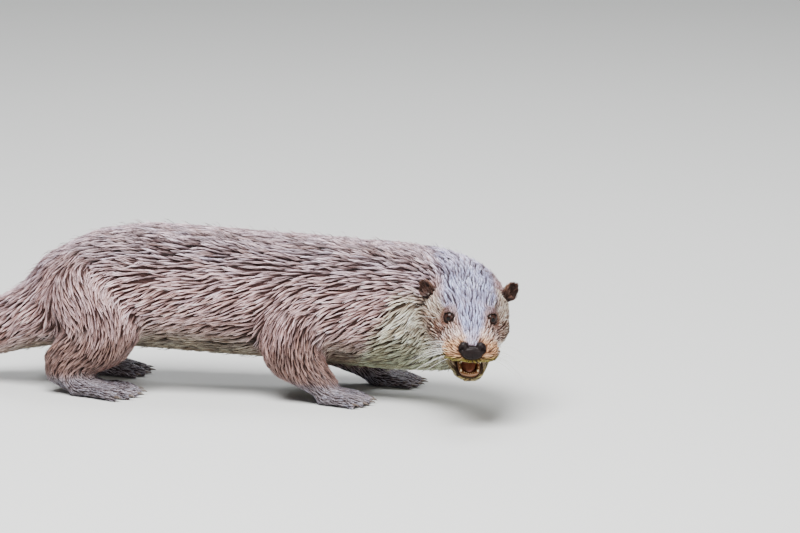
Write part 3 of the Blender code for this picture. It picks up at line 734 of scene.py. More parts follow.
# Each zone's tufts: length, width, the space between clumps, height over the skin, layers, how steep a
# clump's sides are, how strong its painted shade in the gaps and painted highlight on the tips are, how
# far its tufts gather to its tip, and how many times longer than wide its patch of roots is.
COAT = {
    "muzzle": (0.0042, 0.00036, 0.0022, 0.00055, 4.6, 0.65, 1.0, 0.54, 1.7),
    "face": (0.0066, 0.00042, 0.003, 0.00095, 3.5, 0.9, 1.05, 0.78, 2.1),
    "crown": (0.012, 0.00046, 0.0026, 0.00085, 4.4, 0.6, 1.0, 0.68, 2.8),
    "ear": (0.0052, 0.00036, 0.002, 0.0008, 3.4, 0.5, 0.8, 0.5, 1.5),
    "neck": (0.016, 0.00092, 0.0031, 0.0035, 3.2, 1.8, 1.15, 0.96, 3.0),
    "trunk": (0.0168, 0.00096, 0.0033, 0.0038, 3.1, 1.8, 1.15, 0.96, 3.0),
    "belly": (0.014, 0.0015, 0.0045, 0.0028, 2.8, 1.0, 0.9, 0.95, 1.8),
    "tail": (0.014, 0.0011, 0.0031, 0.002, 3.0, 1.3, 1.05, 0.92, 2.4),
    "leg": (0.0122, 0.00086, 0.0026, 0.0021, 3.0, 1.6, 1.14, 0.92, 2.6),
    "paw": (0.0052, 0.00055, 0.0024, 0.0008, 2.4, 0.8, 1.0, 0.65, 1.6),
    "lid": (0.0036, 0.00032, 0.0015, 0.00035, 3.4, 0.35, 0.8, 0.45, 1.4),
}
COAT_ROWS = np.array([COAT[name] for name in ZONES])
LENGTH, WIDTH, SPACE, HEIGHT, LAYERS, TILT, CONTRAST, GATHER, STRETCH = range(9)
FILLED = 0.6  # the share that a tuft covers of its own length by its width
MOUTH_CORNER = (0.018, 0.005, -0.034)  # in the head's frame; the tufts are short there
# A tuft has four rows of vertices, from its root to its tip.
ROW_AT = np.array([0.0, 0.36, 0.7, 1.0])
ROW_HALF = [0.3, 0.5, 0.36, 0.0]  # half-widths, in widths
ROW_HEIGHT = [-0.35, 0.42, 0.86, 0.96]
# Painted shade darkens each tuft towards its root, and a painted highlight lightens its tip.
ROW_PAINTED_SHADE_AND_HIGHLIGHT = [0.08, 0.42, 1.05, 1.6]
ROW_PULL = [0.0, 0.62, 0.92, 1.0]  # how far a row is drawn to the middle of its clump
ROW_ON_MAP = np.array([0.2, 0.5, 0.4, 0.0])  # half-widths in its patch of the map
STRAY = 0.03  # the share of the body's tufts that stand off from their clumps
NEIGHBOURS = 10  # clumps that are looked at round each root
# Painted shade on the sides of a tuft, against its ridge.
EDGE_PAINTED_SHADE = 0.62
PAINTED_SHADE_TINT = (0.22, -0.14, -0.24)  # the painted shade in the coat's depths is browner than its tips
WARMTH = (0.035, 0.0, -0.035)  # one clump is warmer than the next by about this
SKIN_PAINTED_SHADE = 0.07  # painted shade of the skin between the tufts, against their tips
RIDGE = 0.28  # how far a tuft's middle stands over its sides, in widths


def coat_sizes(roots, near, zone):
    """Each root's row of COAT. Along the back the clumps are larger and stand higher, between the eyes the
    fur is smoother, and at the corners of the mouth it is short."""
    sizes = zone @ COAT_ROWS
    back = ramp(near.over, 0.3, 0.9) * (near.share[:, 1] + near.share[:, 2])
    sizes[:, SPACE] *= 1 + 0.22 * back
    sizes[:, HEIGHT] *= 1 + 0.35 * back
    sizes[:, GATHER] *= 1 - 0.12 * back
    local = HEAD.local(roots)
    bridge = near.share[:, 0] * ramp(-local[:, 1], -0.018, 0.0) * ramp(abs(local[:, 0]), 0.02, 0.012)
    sizes[:, [CONTRAST, HEIGHT, GATHER]] *= 1 - 0.31 * bridge[:, None]
    corner = ramp(lengths(local * to_left(local) - MOUTH_CORNER), 0.015, 0.007)
    sizes[:, [LENGTH, HEIGHT]] *= 1 - 0.6 * corner[:, None]
    return sizes


def lie_of_coat(points, normals, near, zone):
    """The unit direction of the fur at each point, along the skin."""
    head = near.share[:, 0]
    jaw = JAW.local(points)
    of_jaw = ramp(jaw[:, 2], 0.003, -0.001) * ramp(-jaw[:, 1], -0.012, 0.002)
    nose, chin = HEAD.world([(0, -0.056, -0.023)]), JAW.world([(0, -0.046, 0.003)])
    from_nose = mix(unit(points - nose), unit(points - chin), of_jaw)
    back = mix(HEAD.way((0, 1, 0.05)), JAW.way((0, 1.3, -0.1)), of_jaw)
    flow = mix(near.flow, 0.55 * back + 0.75 * from_nose, head)
    down = near.share[:, 1] * 0.55 + near.share[:, 2] * 0.3 + near.share[:, 4] * 0.35
    sideways = 1 - np.abs(normals[:, 2])
    flow[:, 2] -= down * sideways * ramp(near.over, 0.75, 0.0)
    for eye in EYES.values():
        seen = eye.local(points)
        close = ramp(lengths(seen), 0.0175, 0.0105)
        out = unit(seen * (1, 1, 0)) @ eye.turn.T
        # The fur parts round the eye and never points into it.
        short = np.maximum(0.45 - (unit(flow) * out).sum(1), 0) * close
        flow = unit(flow) + out * short[:, None]
    for side, ear in EARS.items():
        mine = zone_of(zone, "ear") * (HEAD.local(points)[:, 0] * side > 0)
        flow = mix(flow, ear.way((0.3 * side, 0.1, 1)), mine)
    flow = along_surface(flow, normals)
    turn = 0.15 * ripple(points, 0.05, 11) + 0.07 * ripple(points, 0.018, 12)
    return unit(flow + np.cross(normals, flow) * turn[:, None])


def furless(points, normals):
    """1 where the skin is bare: between the lids, on the nose, in the mouth and ears, under the paws."""
    bare = (mouth_share(points) > 0.02) | (inner_lips(points, normals) > 0.3) | on_nose(points)
    for eye in EYES.values():
        shape, out = eye_opening(points, eye)
        bare |= (shape < 1.1) & (out > 0) & (out < 0.02)
    bare |= in_ear(points, 1.02) > 0.5
    bare |= points[:, 2] < 0.0016
    return bare.astype(float)


def sow_roots(skin):
    """Roots spread over the skin as densely as each zone's tufts ask: their place, normal and triangle, and
    the shares of its corners."""
    (points, normals), faces = surface_of(skin.data), triangles_of(skin.data)
    a, b, c = (points[faces[:, k]] for k in range(3))
    area = lengths(np.cross(b - a, c - a)) / 2
    centres = (a + b + c) / 3
    face_normals = unit(sum(normals[faces[:, k]] for k in range(3)))
    sizes = zones(centres, face_normals, survey(centres)) @ COAT_ROWS
    wanted = area * sizes[:, LAYERS] / (FILLED * sizes[:, LENGTH] * sizes[:, WIDTH])
    wanted *= 1 - furless(centres, face_normals)
    count = np.floor(wanted + chance.random(len(wanted))).astype(int)
    chosen = np.repeat(np.arange(len(faces)), count)
    u, v = chance.random((2, len(chosen)))
    over = u + v > 1
    u[over], v[over] = 1 - u[over], 1 - v[over]
    share = np.stack([1 - u - v, u, v], 1)
    corners = faces[chosen]
    roots, root_normals = ((of[corners] * share[:, :, None]).sum(1) for of in (points, normals))
    return roots, unit(root_normals), chosen, share


def tree_of(points):
    tree = KDTree(len(points))
    for k, point in enumerate(points):
        tree.insert(point, k)
    tree.balance()
    return tree


def clumps_of(roots, flow, sizes):
    """Gathers the roots into clumps, whose patches are drawn out along the fur. Returns for each root its
    clump's number, and the clumps' roots."""
    per_root = FILLED * sizes[:, LENGTH] * sizes[:, WIDTH] / sizes[:, LAYERS]
    patch = 0.85 * sizes[:, SPACE] ** 2 * sizes[:, STRETCH]
    more = 1
    centres = np.nonzero(chance.random(len(roots)) < per_root / patch * more)[0]
    for last in (False, True):
        tree = tree_of(roots[centres])
        some = min(NEIGHBOURS, len(centres))
        close = np.array([[found[1] for found in tree.find_n(root, some)] for root in roots])
        gap = roots[centres[close]] - roots[:, None]
        along = (gap * flow[:, None]).sum(2)
        away = (gap**2).sum(2) - along**2 * (1 - 1 / sizes[:, STRETCH, None] ** 2)
        nearest = close[np.arange(len(roots)), away.argmin(1)]
        if last:
            return nearest, centres
        # Each centre moves to the middle of its own roots, which spaces the clumps evenly.
        total = np.bincount(nearest, minlength=len(centres))
        mean = np.stack([np.bincount(nearest, roots[:, k], len(centres)) for k in range(3)], 1)
        mean /= np.maximum(total, 1)[:, None]
        own = tree_of(roots)
        centres = np.unique([own.find(place)[1] for place in mean[total > 0]])


def on_skin(tree, points):
    """The nearest places on the skin and the normals there."""
    places, normals = np.empty_like(points), np.empty_like(points)
    for k, point in enumerate(points):
        places[k], normals[k] = tree.find_nearest(point)[:2]
    return places, normals


ROW = np.array([0, 0, 1, 1, 1, 2, 2, 2, 3])  # of each vertex of a tuft
EDGE = np.array([1, -1, 1, 0, -1, 1, 0, -1, 0])  # which side of its tuft it is on
TIP_ROW = 3
TUFT_UV = np.stack([ROW_AT[ROW], 0.5 - EDGE * ROW_ON_MAP[ROW]], 1)
# A long tuft has a ridge along its middle. A short one is a flat blade without vertices 3 and 6.
RIDGED = [(0, 1, 3), (0, 3, 2), (1, 4, 3), (2, 3, 6), (2, 6, 5), (3, 4, 7), (3, 7, 6), (5, 6, 8), (6, 7, 8)]
FLAT = [(0, 1, 4), (0, 4, 2), (2, 4, 7), (2, 7, 5), (5, 7, 8)]
Coat = namedtuple("Coat", "points colours roots near zone face share")


def build_coat(skin):
    """All tufts, as arrays: points, colours, and what sorts them into pieces."""
    mesh = skin.data
    tree = BVHTree.FromPolygons(points_of(mesh).tolist(), triangles_of(mesh).tolist())
    roots, normals, face, share = sow_roots(skin)
    near = survey(roots)
    zone = zones(roots, normals, near)
    sizes = coat_sizes(roots, near, zone)
    flow = lie_of_coat(roots, normals, near, zone)
    clump, centres = clumps_of(roots, flow, sizes)
    count, clumps = len(roots), len(centres)
    head = near.share[:, 0]

    def by_clump(low, high):
        return chance.uniform(low, high, clumps)[clump]

    def by_tuft(low, high):
        return chance.uniform(low, high, count)

    middle_of = centres[clump]
    heading = along_surface(flow[middle_of] + 0.05 * chance.normal(size=(clumps, 3))[clump], normals)
    heading = along_surface(heading + 0.03 * chance.normal(size=(count, 3)), normals)
    across = np.cross(normals, heading)
    length = sizes[:, LENGTH] * by_clump(0.8, 1.22) * by_tuft(0.85, 1.12)
    width = sizes[:, WIDTH] * by_tuft(0.75, 1.25)
    offset = roots[middle_of] - roots
    beside = (offset * across).sum(1)
    ahead = (offset * heading).sum(1)
    wave = 0.07 * ripple(roots[centres], 0.022, 13) + 0.032 * chance.normal(size=clumps)
    wave = sizes[:, LENGTH] * wave[clump]
    dome = np.clip(1 - 0.85 * (beside / (0.55 * sizes[:, SPACE])) ** 2, 0.08, 1)
    height = sizes[:, HEIGHT] * dome * by_clump(0.85, 1.15)
    height *= by_tuft(0.88, 1.12)
    off = (chance.random(count) < STRAY) * (1 - head - near.share[:, 6])
    height *= 1 + 0.8 * np.clip(off, 0, 1)

    places, outs = [roots], [normals]
    free = 0.6 * zone_of(zone, "ear")[:, None]  # the ears' tufts stand out over their rims
    for at, drawn in zip(ROW_AT[1:], ROW_PULL[1:]):
        pull = sizes[:, GATHER] * drawn
        step = heading * (length * at + 0.25 * pull * ahead)[:, None]
        step += across * (pull * beside + wave * math.sin(4.6 * at))[:, None]
        place, out = on_skin(tree, roots + step)
        places.append(place + free * (roots + step - place))
        outs.append(unit(out + 0.35 * normals))
    centre = [p + n * (height * h)[:, None] for p, n, h in zip(places, outs, ROW_HEIGHT)]
    heads = [centre[1] - centre[0], centre[2] - centre[0], centre[3] - centre[1], centre[3] - centre[2]]
    tilt = (np.clip(beside / (0.5 * sizes[:, SPACE]), -1.2, 1.2) * sizes[:, TILT])[:, None]
    beside_at = [unit(unit(np.cross(n, d)) + n * tilt) for n, d in zip(outs, heads)]

    contrast = sizes[:, CONTRAST]
    spread = 0.4 + 0.1 * head + 0.18 * ramp(near.over, 0.4, 0.9) * (1 - head)
    shade = 1 + (spread * by_clump(-1, 1) + by_tuft(-0.14, 0.14)) * contrast
    # Painted shade: tufts low at a clump's edges are darker, like shadowed gaps between clumps.
    shade *= 1 - np.minimum(0.8 * contrast, 0.85) * (1 - dome)
    warmth = chance.normal(size=clumps)[clump][:, None] * WARMTH
    base = coat_colours(roots, normals, near, zone) * (1 + warmth)
    points, colours = np.empty((2, count, len(ROW), 3))
    for k, (row, edge) in enumerate(zip(ROW, EDGE)):
        on_ridge = edge == 0 or row == TIP_ROW
        half = (width * ROW_HALF[row])[:, None] * edge
        lift = (width * RIDGE)[:, None] if edge == 0 and row < TIP_ROW else 0
        points[:, k] = centre[row] + beside_at[row] * half + outs[row] * lift
        # Painted light on this vertex: shade at the root and on the tuft's sides, a highlight at the tip.
        row_painted_light = 1 + contrast * (ROW_PAINTED_SHADE_AND_HIGHLIGHT[row] * (1 if on_ridge else EDGE_PAINTED_SHADE) - 1)
        level = (shade * row_painted_light)[:, None]
        colours[:, k] = base * level * (1 + np.clip(1 - level, 0, 1) * PAINTED_SHADE_TINT)
    points[:, :, 2] = np.maximum(points[:, :, 2], 0.0002)
    return Coat(points, colours, roots, near, zone, face, share)


CHEST_END, LOIN_END = -0.11, -0.235  # along the part's own x


def coat_groups(coat):
    """Sorts the tufts into pieces by where they grow, each small enough."""
    kind = coat.zone.argmax(1)
    x = coat.roots[:, 0] - ORIGIN[0]
    fore = coat.near.share[:, 4] >= coat.near.share[:, 5]
    fore_paw = TRUNK.local(coat.roots)[:, 0] > 0.12

    def of(*names):
        return np.isin(kind, [ZONES.index(name) for name in names])

    trunk = of("trunk", "belly")
    return {
        "coat_muzzle": of("muzzle"),
        "coat_face": of("face", "lid"),
        "coat_head": of("crown", "ear"),
        "coat_neck": of("neck"),
        "coat_tail": of("tail"),
        "coat_fore_legs": of("leg") & fore,
        "coat_hind_legs": of("leg") & ~fore,
        "coat_fore_paws": of("paw") & fore_paw,
        "coat_hind_paws": of("paw") & ~fore_paw,
        "coat_chest": trunk & (x > CHEST_END),
        "coat_loin": trunk & (x <= CHEST_END) & (x > LOIN_END),
        "coat_rump": trunk & (x <= LOIN_END),
    }


def unwrap_of(skin, wanted_faces):
    """The skin's own unwrap of these triangles: the map's corners for each of them."""
    points, faces = points_of(skin.data), triangles_of(skin.data)
    numbers = np.unique(wanted_faces)
    used, corners = np.unique(faces[numbers], return_inverse=True)
    part = new_object("unwrap", triangle_mesh("unwrap", points[used], corners.reshape(-1, 3)))
    bpy.ops.object.select_all(action="DESELECT")
    bpy.context.view_layer.objects.active = part
    part.select_set(True)
    part.data.uv_layers.new(name="OFBake")
    bpy.ops.object.mode_set(mode="EDIT")
    bpy.ops.mesh.select_all(action="SELECT")
    bpy.ops.uv.smart_project(angle_limit=math.radians(66), island_margin=0.004)
    bpy.ops.object.mode_set(mode="OBJECT")
    uv = np.empty(len(part.data.loops) * 2, np.float32)
    part.data.uv_layers["OFBake"].data.foreach_get("uv", uv)
    bpy.data.objects.remove(part)
    where = np.full(len(faces), -1)
    where[numbers] = np.arange(len(numbers))
    return uv.reshape(-1, 3, 2)[where[wanted_faces]]


PATCH = 0.003  # a tuft's own patch on the map OFBake
SHORT_SLOTS = dict.fromkeys(("coat_muzzle", "coat_face", "coat_head"), "fur_face")
SHORT_SLOTS.update(coat_fore_paws="fur_paws", coat_hind_paws="fur_paws")


def coat_piece(name, coat, chosen, skin):
    used, corners = np.unique(FLAT if name in SHORT_SLOTS else RIDGED, return_inverse=True)
    corners = corners.reshape(-1, 3)
    faces = (corners + len(used) * np.arange(chosen.sum())[:, None, None]).reshape(-1, 3)
    mesh = triangle_mesh(name, coat.points[chosen][:, used].reshape(-1, 3), faces)
    colour_points(mesh, coat.colours[chosen][:, used].reshape(-1, 3))
    root_uv = (unwrap_of(skin, coat.face[chosen]) * coat.share[chosen][:, :, None]).sum(1)
    root_uv = np.clip(root_uv, PATCH, 1 - PATCH)
    patch = root_uv[:, None] + (TUFT_UV[used][None] - 0.5) * PATCH
    layer = mesh.uv_layers.new(name="OFBake")
    layer.data.foreach_set("uv", patch[:, corners].astype(np.float32).ravel())
    return new_object(name, mesh)


# ---- materials


def feed(node, **inputs):
    """Sets a node's inputs, or links other nodes' outputs to them. A name has _ for each space."""
    for name, value in inputs.items():
        socket = node.inputs[name.replace("_", " ")]
        if isinstance(value, bpy.types.NodeSocket):
            node.id_data.links.new(value, socket)
        else:
            socket.default_value = value


def add_node(shader, kind, **inputs):
    node = shader.id_data.nodes.new(f"ShaderNode{kind}")
    feed(node, **inputs)
    return node


def material_with(name, roughness, specular=0.5, coat=0.0, coat_roughness=0.1):
    material = bpy.data.materials.new(name)
    material.use_nodes = True
    shader = material.node_tree.nodes["Principled BSDF"]
    feed(shader, Roughness=roughness, Specular_IOR_Level=specular)
    feed(shader, Coat_Weight=coat, Coat_Roughness=coat_roughness)
    return material, shader


def texture(shader, kind, output, **settings):
    """An output of a texture in the object's own space."""
    place = add_node(shader, "TexCoord").outputs["Object"]
    return add_node(shader, kind, Vector=place, **settings).outputs[output]


def bump_by(shader, height, strength, distance):
    bump = add_node(shader, "Bump", Strength=strength, Distance=distance, Height=height)
    feed(shader, Normal=bump.outputs["Normal"])
    return bump


def bumps(shader, scale, strength, distance):
    """Bumps from object-space noise, whose output is returned."""
    noise = texture(shader, "TexNoise", "Fac", Scale=scale, Detail=3.0)
    bump_by(shader, noise, strength, distance)
    return noise


def own_colours(shader, noise, spread=0.25):
    """The mesh's own colours, a little lighter and darker by the noise."""
    colour = add_node(shader, "VertexColor")
    colour.layer_name = "Coat"
    level = add_node(shader, "MapRange", Value=noise, From_Min=0.3, From_Max=0.7)
    feed(level, To_Min=1 - spread, To_Max=1 + spread)
    scaled = add_node(shader, "VectorMath")
    scaled.operation = "SCALE"
    feed(scaled, Vector=colour.outputs["Color"], Scale=level.outputs["Result"])
    feed(shader, Base_Color=scaled.outputs["Vector"])


def coat_material(name, roughness, specular):
    material, shader = material_with(name, roughness, specular)
    own_colours(shader, bumps(shader, 900.0, 0.35, 0.0004))
    return material


def finish_piece(piece, material, nodes=()):
    piece.data.materials.clear()
    piece.data.materials.append(material)
    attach(piece, "root")
    if nodes:
        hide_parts(*nodes)


def plain_piece(name, mesh, colours, roughness, grain, nodes=(), ends=(0.35, 0.65), coat=0.0):
    """A piece between two colours, by the noise that also makes its bumps: grain is the noise's scale, and
    the bumps' strength and distance."""
    material, shader = material_with(name, roughness, coat=coat, coat_roughness=0.15)
    blend = add_node(shader, "ValToRGB", Fac=bumps(shader, *grain))
    for element, at, colour in zip(blend.color_ramp.elements, ends, colours):
        element.position = at
        element.color = (*colour, 1)
    feed(shader, Base_Color=blend.outputs["Color"])
    finish_piece(new_object(name, mesh), material, nodes)


# ---- surfaces of rings


def circle(turns):
    angle = np.arange(turns) * 2 * math.pi / turns
    return np.cos(angle), np.sin(angle)


def bands(rows, turns):
    """Triangles between rings of vertices, each ring over the one before."""
    a = np.arange((rows - 1) * turns)
    b = a - a % turns + (a + 1) % turns
    return np.vstack([np.stack([a, b, b + turns], 1), np.stack([a, b + turns, a + turns], 1)])


def lathe(name, profile, turns, place):
    """Rows of radius and height turned round a frame's z: the surface, and its points in that frame."""
    ring = np.stack([*circle(turns), np.ones(turns)], 1)
    points = (np.asarray(profile)[:, None, [0, 0, 1]] * ring).reshape(-1, 3)
    return triangle_mesh(name, place.world(points), bands(len(profile), turns)), points


def tube(path, radii, turns):
    """Points and triangles of a closed tapering tube along the points of a path."""
    path, radii = np.asarray(path, float), np.asarray(radii, float)
    heading = unit(np.gradient(path, axis=0))
    side = unit(np.cross(heading, (0, 0, 1) if abs(heading[0][2]) < 0.9 else (1, 0, 0)))
    up = np.cross(side, heading)
    x, y = circle(turns)
    ring = x[None, :, None] * side[:, None] + y[None, :, None] * up[:, None]
    rings = path[:, None] + ring * radii[:, None, None]
    points = np.vstack([rings.reshape(-1, 3), path[:1], path[-1:]])
    first, last = len(points) - 2, len(points) - 1
    a, end = np.arange(turns), first - turns  # of the first ring, and where the last one starts
    b = np.roll(a, -1)
    caps = [np.stack([a, b, a * 0 + first], 1), np.stack([b + end, a + end, a * 0 + last], 1)]
    return points, np.vstack([bands(len(path), turns)[:, ::-1], *caps])


def joined_tubes(name, tubes):
    starts = np.cumsum([0] + [len(points) for points, _ in tubes])
    faces = [faces + start for (_, faces), start in zip(tubes, starts)]
    return triangle_mesh(name, np.vstack([points for points, _ in tubes]), np.vstack(faces))


# ---- the eyes


def build_eye(name, side):
    """An eyeball with a clear bulge at its front, a brown iris and a round pupil."""
    polar = np.concatenate([np.linspace(0.004, 1.1, 44), np.linspace(1.15, math.pi - 0.01, 24)])[::-1]
    radius = EYE_RADIUS + 0.00055 * ramp(polar, 0.85, 0.35)
    profile = np.stack([np.sin(polar), np.cos(polar)], 1) * radius[:, None]
    mesh, local = lathe(name, profile, 72, EYES[side])
    x, y, out = local.T
    t = np.arctan2(np.hypot(x, y), out)
    angle = np.arctan2(y, x)
    streak = 0.5 + 0.5 * np.sin(angle * 23 + 3 * np.sin(angle * 5)) * np.sin(angle * 11 + 1)
    iris = PALETTE["iris"] * (0.6 + 0.8 * streak[:, None])
    limbus = ramp(t, 0.66, 0.76) * ramp(t, 0.98, 0.86)
    colours = mix(iris, PALETTE["sclera"], ramp(t, 0.78, 0.95)) * (1 - 0.85 * limbus[:, None])
    colour_points(mesh, mix(colours, PALETTE["pupil"], ramp(t, 0.31, 0.26)))
    material, shader = material_with(name, 0.3, specular=0.0, coat=0.5, coat_roughness=0.03)
    feed(shader, Coat_IOR=1.38)
    own_colours(shader, bumps(shader, 1500.0, 0.03, 0.0001), 0.3)
    finish_piece(new_object(f"{name}_ball", mesh), material, [name])


# ---- nose, mouth, claws, whiskers

NOSTRIL = [  # a comma in the nose's frame, on the otter's left
    (0.0106, -0.0024, 0.0026),
    (0.0118, -0.0018, 0.002),
    (0.0134, 0.0002, 0.0006),
    (0.0146, 0.0028, -0.0012),
]
NOSE_FRONT = -0.0022  # the leather is flattened ahead of this
PEBBLES = 1500.0  # cells of nose leather along a metre


def press_nose(points, normals):
    """Sinks the nostrils and a groove down the middle, and flattens the front. Returns the points and the
    painted shade in the nostrils and the groove, from 0 to 1."""
    local = NOSE.local(points)
    slit = smooth_rows(NOSTRIL, 8)
    away = lengths((local * to_left(local))[:, None] - slit[None]) / np.linspace(0.0024, 0.0007, len(slit))
    in_slit = ramp(away.min(1), 1.2, 0.3) * np.linspace(1, 0.45, len(slit))[away.argmin(1)]
    groove = ramp(abs(local[:, 0]), 0.001, 0.0001) * ramp(local[:, 2], 0.001, -0.001)
    depth = 0.0036 * in_slit + 0.00035 * groove
    flat = NOSE.local(points - normals * depth[:, None])
    flat[:, 1] -= 0.4 * np.minimum(flat[:, 1] - NOSE_FRONT, 0)
    return NOSE.world(flat), np.clip(in_slit + 0.3 * groove, 0, 1)


def build_nose():
    """The leather of the nose: a broad body and a lobe round each comma-shaped nostril."""
    work = bmesh.new()
    for centre, radii in NOSE_FORMS:
        for side in (-1, 1) if centre[0] else (1,):
            shape = Matrix.Translation(Vector(centre) * Vector((side, 1, 1))) @ Matrix.Diagonal((*radii, 1))
            bmesh.ops.create_icosphere(work, subdivisions=4, radius=1.0, matrix=NOSE.matrix @ shape)
    made = new_object("nose_leather", mesh_of(work, "nose_leather"))
    fuse(made, 0.00036)
    everywhere = np.ones(len(made.data.vertices))
    smooth(made, 80, everywhere)
    points, painted_nostril_shade = press_nose(points_of(made.data), normals_of(made.data))
    set_points(made.data, points)
    smooth(made, 2, everywhere)
    # The nostrils and the groove are darkened as painted shade.
    colour_points(made.data, PALETTE["leather"] * (1 - 0.9 * painted_nostril_shade[:, None]))
    made.data.shade_smooth()
    material, shader = material_with("nose_leather", 0.5, specular=0.1, coat=0.06, coat_roughness=0.22)
    pebbles = texture(shader, "TexVoronoi", "Distance", Scale=PEBBLES)
    bump_by(shader, pebbles, 0.35, 0.00018).invert = True
    own_colours(shader, texture(shader, "TexNoise", "Fac", Scale=500.0), 0.35)
    finish_piece(made, material, ["nose_pad"])


def build_tongue():
    """A flat tongue with a groove down its middle, in the trough of the lower jaw."""
    lie = JAW.at((0, -0.015, -0.0024), turned(-4.0, "X"))
    polar = np.linspace(0.02, math.pi - 0.02, 40)
    mesh, ball = lathe("tongue_flesh", np.stack([np.sin(polar), np.cos(polar)], 1), 48, lie)
    x, along, z = ball[:, 0] * 0.0084, ball[:, 2] * 0.0168, ball[:, 1]
    x *= 1 - 0.12 * ramp(-along, 0.002, 0.015)
    height = 0.003 * z
    height -= ramp(abs(x), 0.0022, 0.0) * ramp(z, 0, 0.6) * 0.001 * ramp(abs(along), 0.016, 0.01)
    height += 0.0012 * ramp(-along, 0.004, 0.016) ** 2
    set_points(mesh, lie.world(np.stack([x, along, height], 1)))
    colours = ((0.17, 0.055, 0.03), (0.28, 0.1, 0.055))
    plain_piece("tongue_flesh", mesh, colours, 0.42, (2600.0, 0.5, 0.0005), ["tongue"], coat=0.5)


GUM = [(0.01, -0.002), (0.01, -0.016), (0.0094, -0.028), (0.0074, -0.0342), (0.004, -0.0362), (0, -0.0367)]
PALATE_HALF = 0.008  # half the width of the palate's ridges


def tooth(jaw, side, root, length, radius, lean=(0, 0)):
    """A pointed tooth, down where length is negative. Its tip leans out and behind by lean of its length."""
    at = np.linspace(0, 1, 8)[:, None]
    path = np.array(root) + np.array((0, 0, length)) * (at * 1.3 - 0.3)
    path[:, :2] += np.array(lean) * abs(length) * at**2
    return tube(jaw.world(path * (side, 1, 1)), radius * np.maximum(1 - at[:, 0] ** 1.7, 0.04), 10)


def build_mouth():
    """The gum round the lower jaw, the ridges of the palate, and the teeth."""
    half = np.array([(x, y, 0.0004) for x, y in GUM])
    arch = smooth_rows(np.vstack([half * (-1, 1, 1), half[-2::-1]]), 6)
    bulge = 0.0018 + 0.00012 * np.sin(np.arange(len(arch)) * 1.9)
    tubes = [tube(JAW.world(arch), bulge, 12)]
    x = np.linspace(-PALATE_HALF, PALATE_HALF, 9)
    for k in range(6):
        ridge = np.stack([x, -0.033 + 0.0042 * k + 0.0016 * (x / PALATE_HALF) ** 2, -0.0292 - 24 * x * x], 1)
        tubes.append(tube(HEAD.world(ridge), 0.0006 * np.sin(np.linspace(0.5, math.pi - 0.5, 9)), 8))
    mesh, colours = joined_tubes("gums", tubes), ((0.15, 0.056, 0.018), (0.26, 0.11, 0.034))
    plain_piece("gums", mesh, colours, 0.38, (1400.0, 0.5, 0.0003), coat=0.5)
    teeth = []
    for side in SIDES.values():
        teeth.append(tooth(JAW, side, (0.0084, -0.0325, 0.0004), 0.0052, 0.0015, (0.1, -0.12)))
        teeth.append(tooth(HEAD, side, (0.0098, -0.0375, -0.0316), -0.0038, 0.0013, (0.05, -0.05)))
        for k, across in enumerate((0.0012, 0.0033, 0.0052)):
            teeth.append(tooth(JAW, side, (across, -0.0366 + 0.001 * k, 0.0006), 0.0024, 0.0009, (0, -0.1)))
            root = (across * 1.15, -0.0415 + 0.0009 * k, -0.0316)
            teeth.append(tooth(HEAD, side, root, -0.002, 0.001))
        for k in range(4):
            root, long = (0.0097, -0.0265 + 0.0052 * k, 0.0006), 0.0022 + 0.0004 * (k % 2)
            teeth.append(tooth(JAW, side, root, long, 0.0015, (0, 0.1)))
    nodes = [f"{jaw}_canine_{side}" for jaw in ("lower", "upper") for side in SIDES]
    mesh, colours = joined_tubes("ivory", teeth), ((0.56, 0.42, 0.2), (0.7, 0.6, 0.38))
    plain_piece("ivory", mesh, colours, 0.28, (700.0, 0.5, 0.0001), nodes, coat=0.5)


def build_claws():
    """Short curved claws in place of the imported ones, from root to tip."""
    tubes, nodes = [], []
    at = np.linspace(0, 1, 10)[:, None]
    for leg in LEGS:
        paw = paw_frame(*leg.split("_"))
        for k in range(1, 6):
            nodes.append(f"{leg}_claw_{k}")
            packed = frame["nodes"][nodes[-1]]
            spots = np.array([packed.matrix_world @ v.co for v in packed.data.vertices])
            ahead = paw.local(spots)[:, 0]
            tip, root = spots[ahead.argmax()], spots[ahead < ahead.min() + 0.0008].mean(0)
            path = root + (tip - root) * (1.06 * at) + np.array((0, 0, 0.0011)) * np.sin(math.pi * at) * at
            path[:, 2] = np.maximum(path[:, 2], 0.0012 * (1 - at[:, 0]) + 0.0004)
            tubes.append(tube(path, 0.00155 * np.maximum(1 - 0.85 * at[:, 0] ** 1.8, 0.05), 10))
    mesh, colours = joined_tubes("horn", tubes), ((0.05, 0.032, 0.024), (0.115, 0.08, 0.06))
    plain_piece("horn", mesh, colours, 0.35, (500.0, 0.5, 0.0002), nodes, coat=0.2)


def whisker(side, root, way, long, droop, radius):
    """A hair in the head's frame, bent down by droop of its length."""
    at = np.linspace(0, 1, 9)[:, None]
    aim = np.array(way, float) / np.linalg.norm(way)
    path = (np.array(root) + aim * long * at) * (side, 1, 1)
    path += np.array((0, 0.05, -droop)) * long * at**2.2
    return tube(HEAD.world(path), radius * (1 - 0.8 * at[:, 0]), 6)


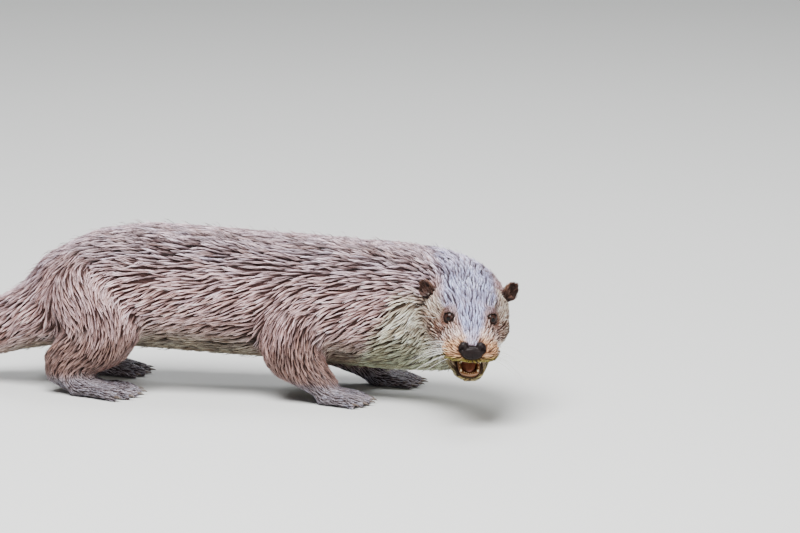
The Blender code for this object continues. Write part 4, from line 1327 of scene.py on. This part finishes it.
def build_whiskers():
    """Long stiff hairs in a fan from each side of the muzzle, and short ones on the cheeks and brows."""
    made = []
    for side in SIDES.values():
        for row in range(4):
            for k in range(5):
                root = (0.0165 + 0.0014 * k, -0.0385 + 0.0038 * k, -0.0195 - 0.0028 * row)
                long = 0.052 - 0.004 * k - 0.004 * abs(row - 1.5) + chance.uniform(-0.01, 0.006)
                lift = 0.16 - 0.15 * row + chance.uniform(-0.1, 0.1)
                back = 0.05 + 0.16 * k + chance.uniform(-0.1, 0.1)
                made.append(whisker(side, root, (1, back, lift), long, chance.uniform(0.28, 0.5), 0.00024))
        made.append(whisker(side, (0.0345, 0.004, 0.002), (1, 0.1, 0.48), 0.03, 0.1, 0.00015))
        made.append(whisker(side, (0.035, 0.006, -0.003), (1, 0.2, 0.12), 0.028, 0.2, 0.00015))
        made.append(whisker(side, (0.017, 0.004, 0.0135), (0.35, 0.15, 1), 0.014, 0.0, 0.00013))
    mesh, colours = joined_tubes("whiskers", made), ((0.62, 0.6, 0.55), (0.85, 0.84, 0.8))
    plain_piece("whiskers", mesh, colours, 0.35, (300.0, 0.1, 0.0001), ends=(0, 1))


# ---- the studio


def aimed(name, data, place, way):
    """A camera or light that looks this way."""
    made = new_object(name, data)
    made.location = place
    made.rotation_euler = way.to_track_quat("-Z", "Y").to_euler()
    return made


def build_camera():
    """Far off, ten degrees above the otter's side."""
    elevation, width, distance = math.radians(10), 0.832, 11.5
    target = Vector(ORIGIN) + Vector((0, 0, 0.1462))
    back = Vector((0, -math.cos(elevation), math.sin(elevation)))
    data = bpy.data.cameras.new("camera")
    data.sensor_width = 36
    data.lens = 36 * distance / width
    data.clip_end = 100
    bpy.context.scene.camera = aimed("camera", data, target + back * distance, -back)


def area_light(name, place, size, power, colour):
    data = bpy.data.lights.new(name, "AREA")
    data.energy, data.size, data.color = power, size, colour
    aimed(name, data, place, Vector((0, 0, 0.08)) - Vector(place))


def build_studio():
    """Soft light on a plain pale floor."""
    area_light("key", (-0.25, -1.35, 2.8), 1.9, 292, (0.98, 0.985, 1.0))
    area_light("back", (0.5, 1.5, 2.3), 1.4, 50, (0.95, 0.97, 1.0))
    area_light("fill", (2.2, -2.4, 1.2), 1.6, 60, (1.0, 0.98, 0.95))
    world = bpy.data.worlds.new("studio")
    world.use_nodes = True
    feed(world.node_tree.nodes["Background"], Color=(0.84, 0.87, 0.9, 1), Strength=0.24)
    bpy.context.scene.world = world
    corners = np.array([(-30, -30, 0), (30, -30, 0), (30, 30, 0), (-30, 30, 0)])
    floor = new_object("floor", triangle_mesh("floor", corners, np.array([(0, 1, 2), (0, 2, 3)])))
    material, shader = material_with("floor", 0.85)
    feed(shader, Base_Color=(0.62, 0.62, 0.6, 1))
    floor.data.materials.append(material)


def main():
    build_camera()
    build_studio()
    skin = build_skin()
    finish_skin(skin)
    coat = build_coat(skin)
    fur = {"fur_body": coat_material("fur", 0.4, 0.4), "fur_face": coat_material("fur_face", 0.48, 0.22)}
    fur["fur_paws"] = fur["fur_body"]
    for name, chosen in coat_groups(coat).items():
        slot = SHORT_SLOTS.get(name, "fur_body")
        finish_piece(coat_piece(name, coat, chosen, skin), fur[slot])
    for name, side in SIDES.items():
        build_eye(f"eye_{name}", side)
    build_nose()
    build_tongue()
    build_mouth()
    build_claws()
    build_whiskers()


main()
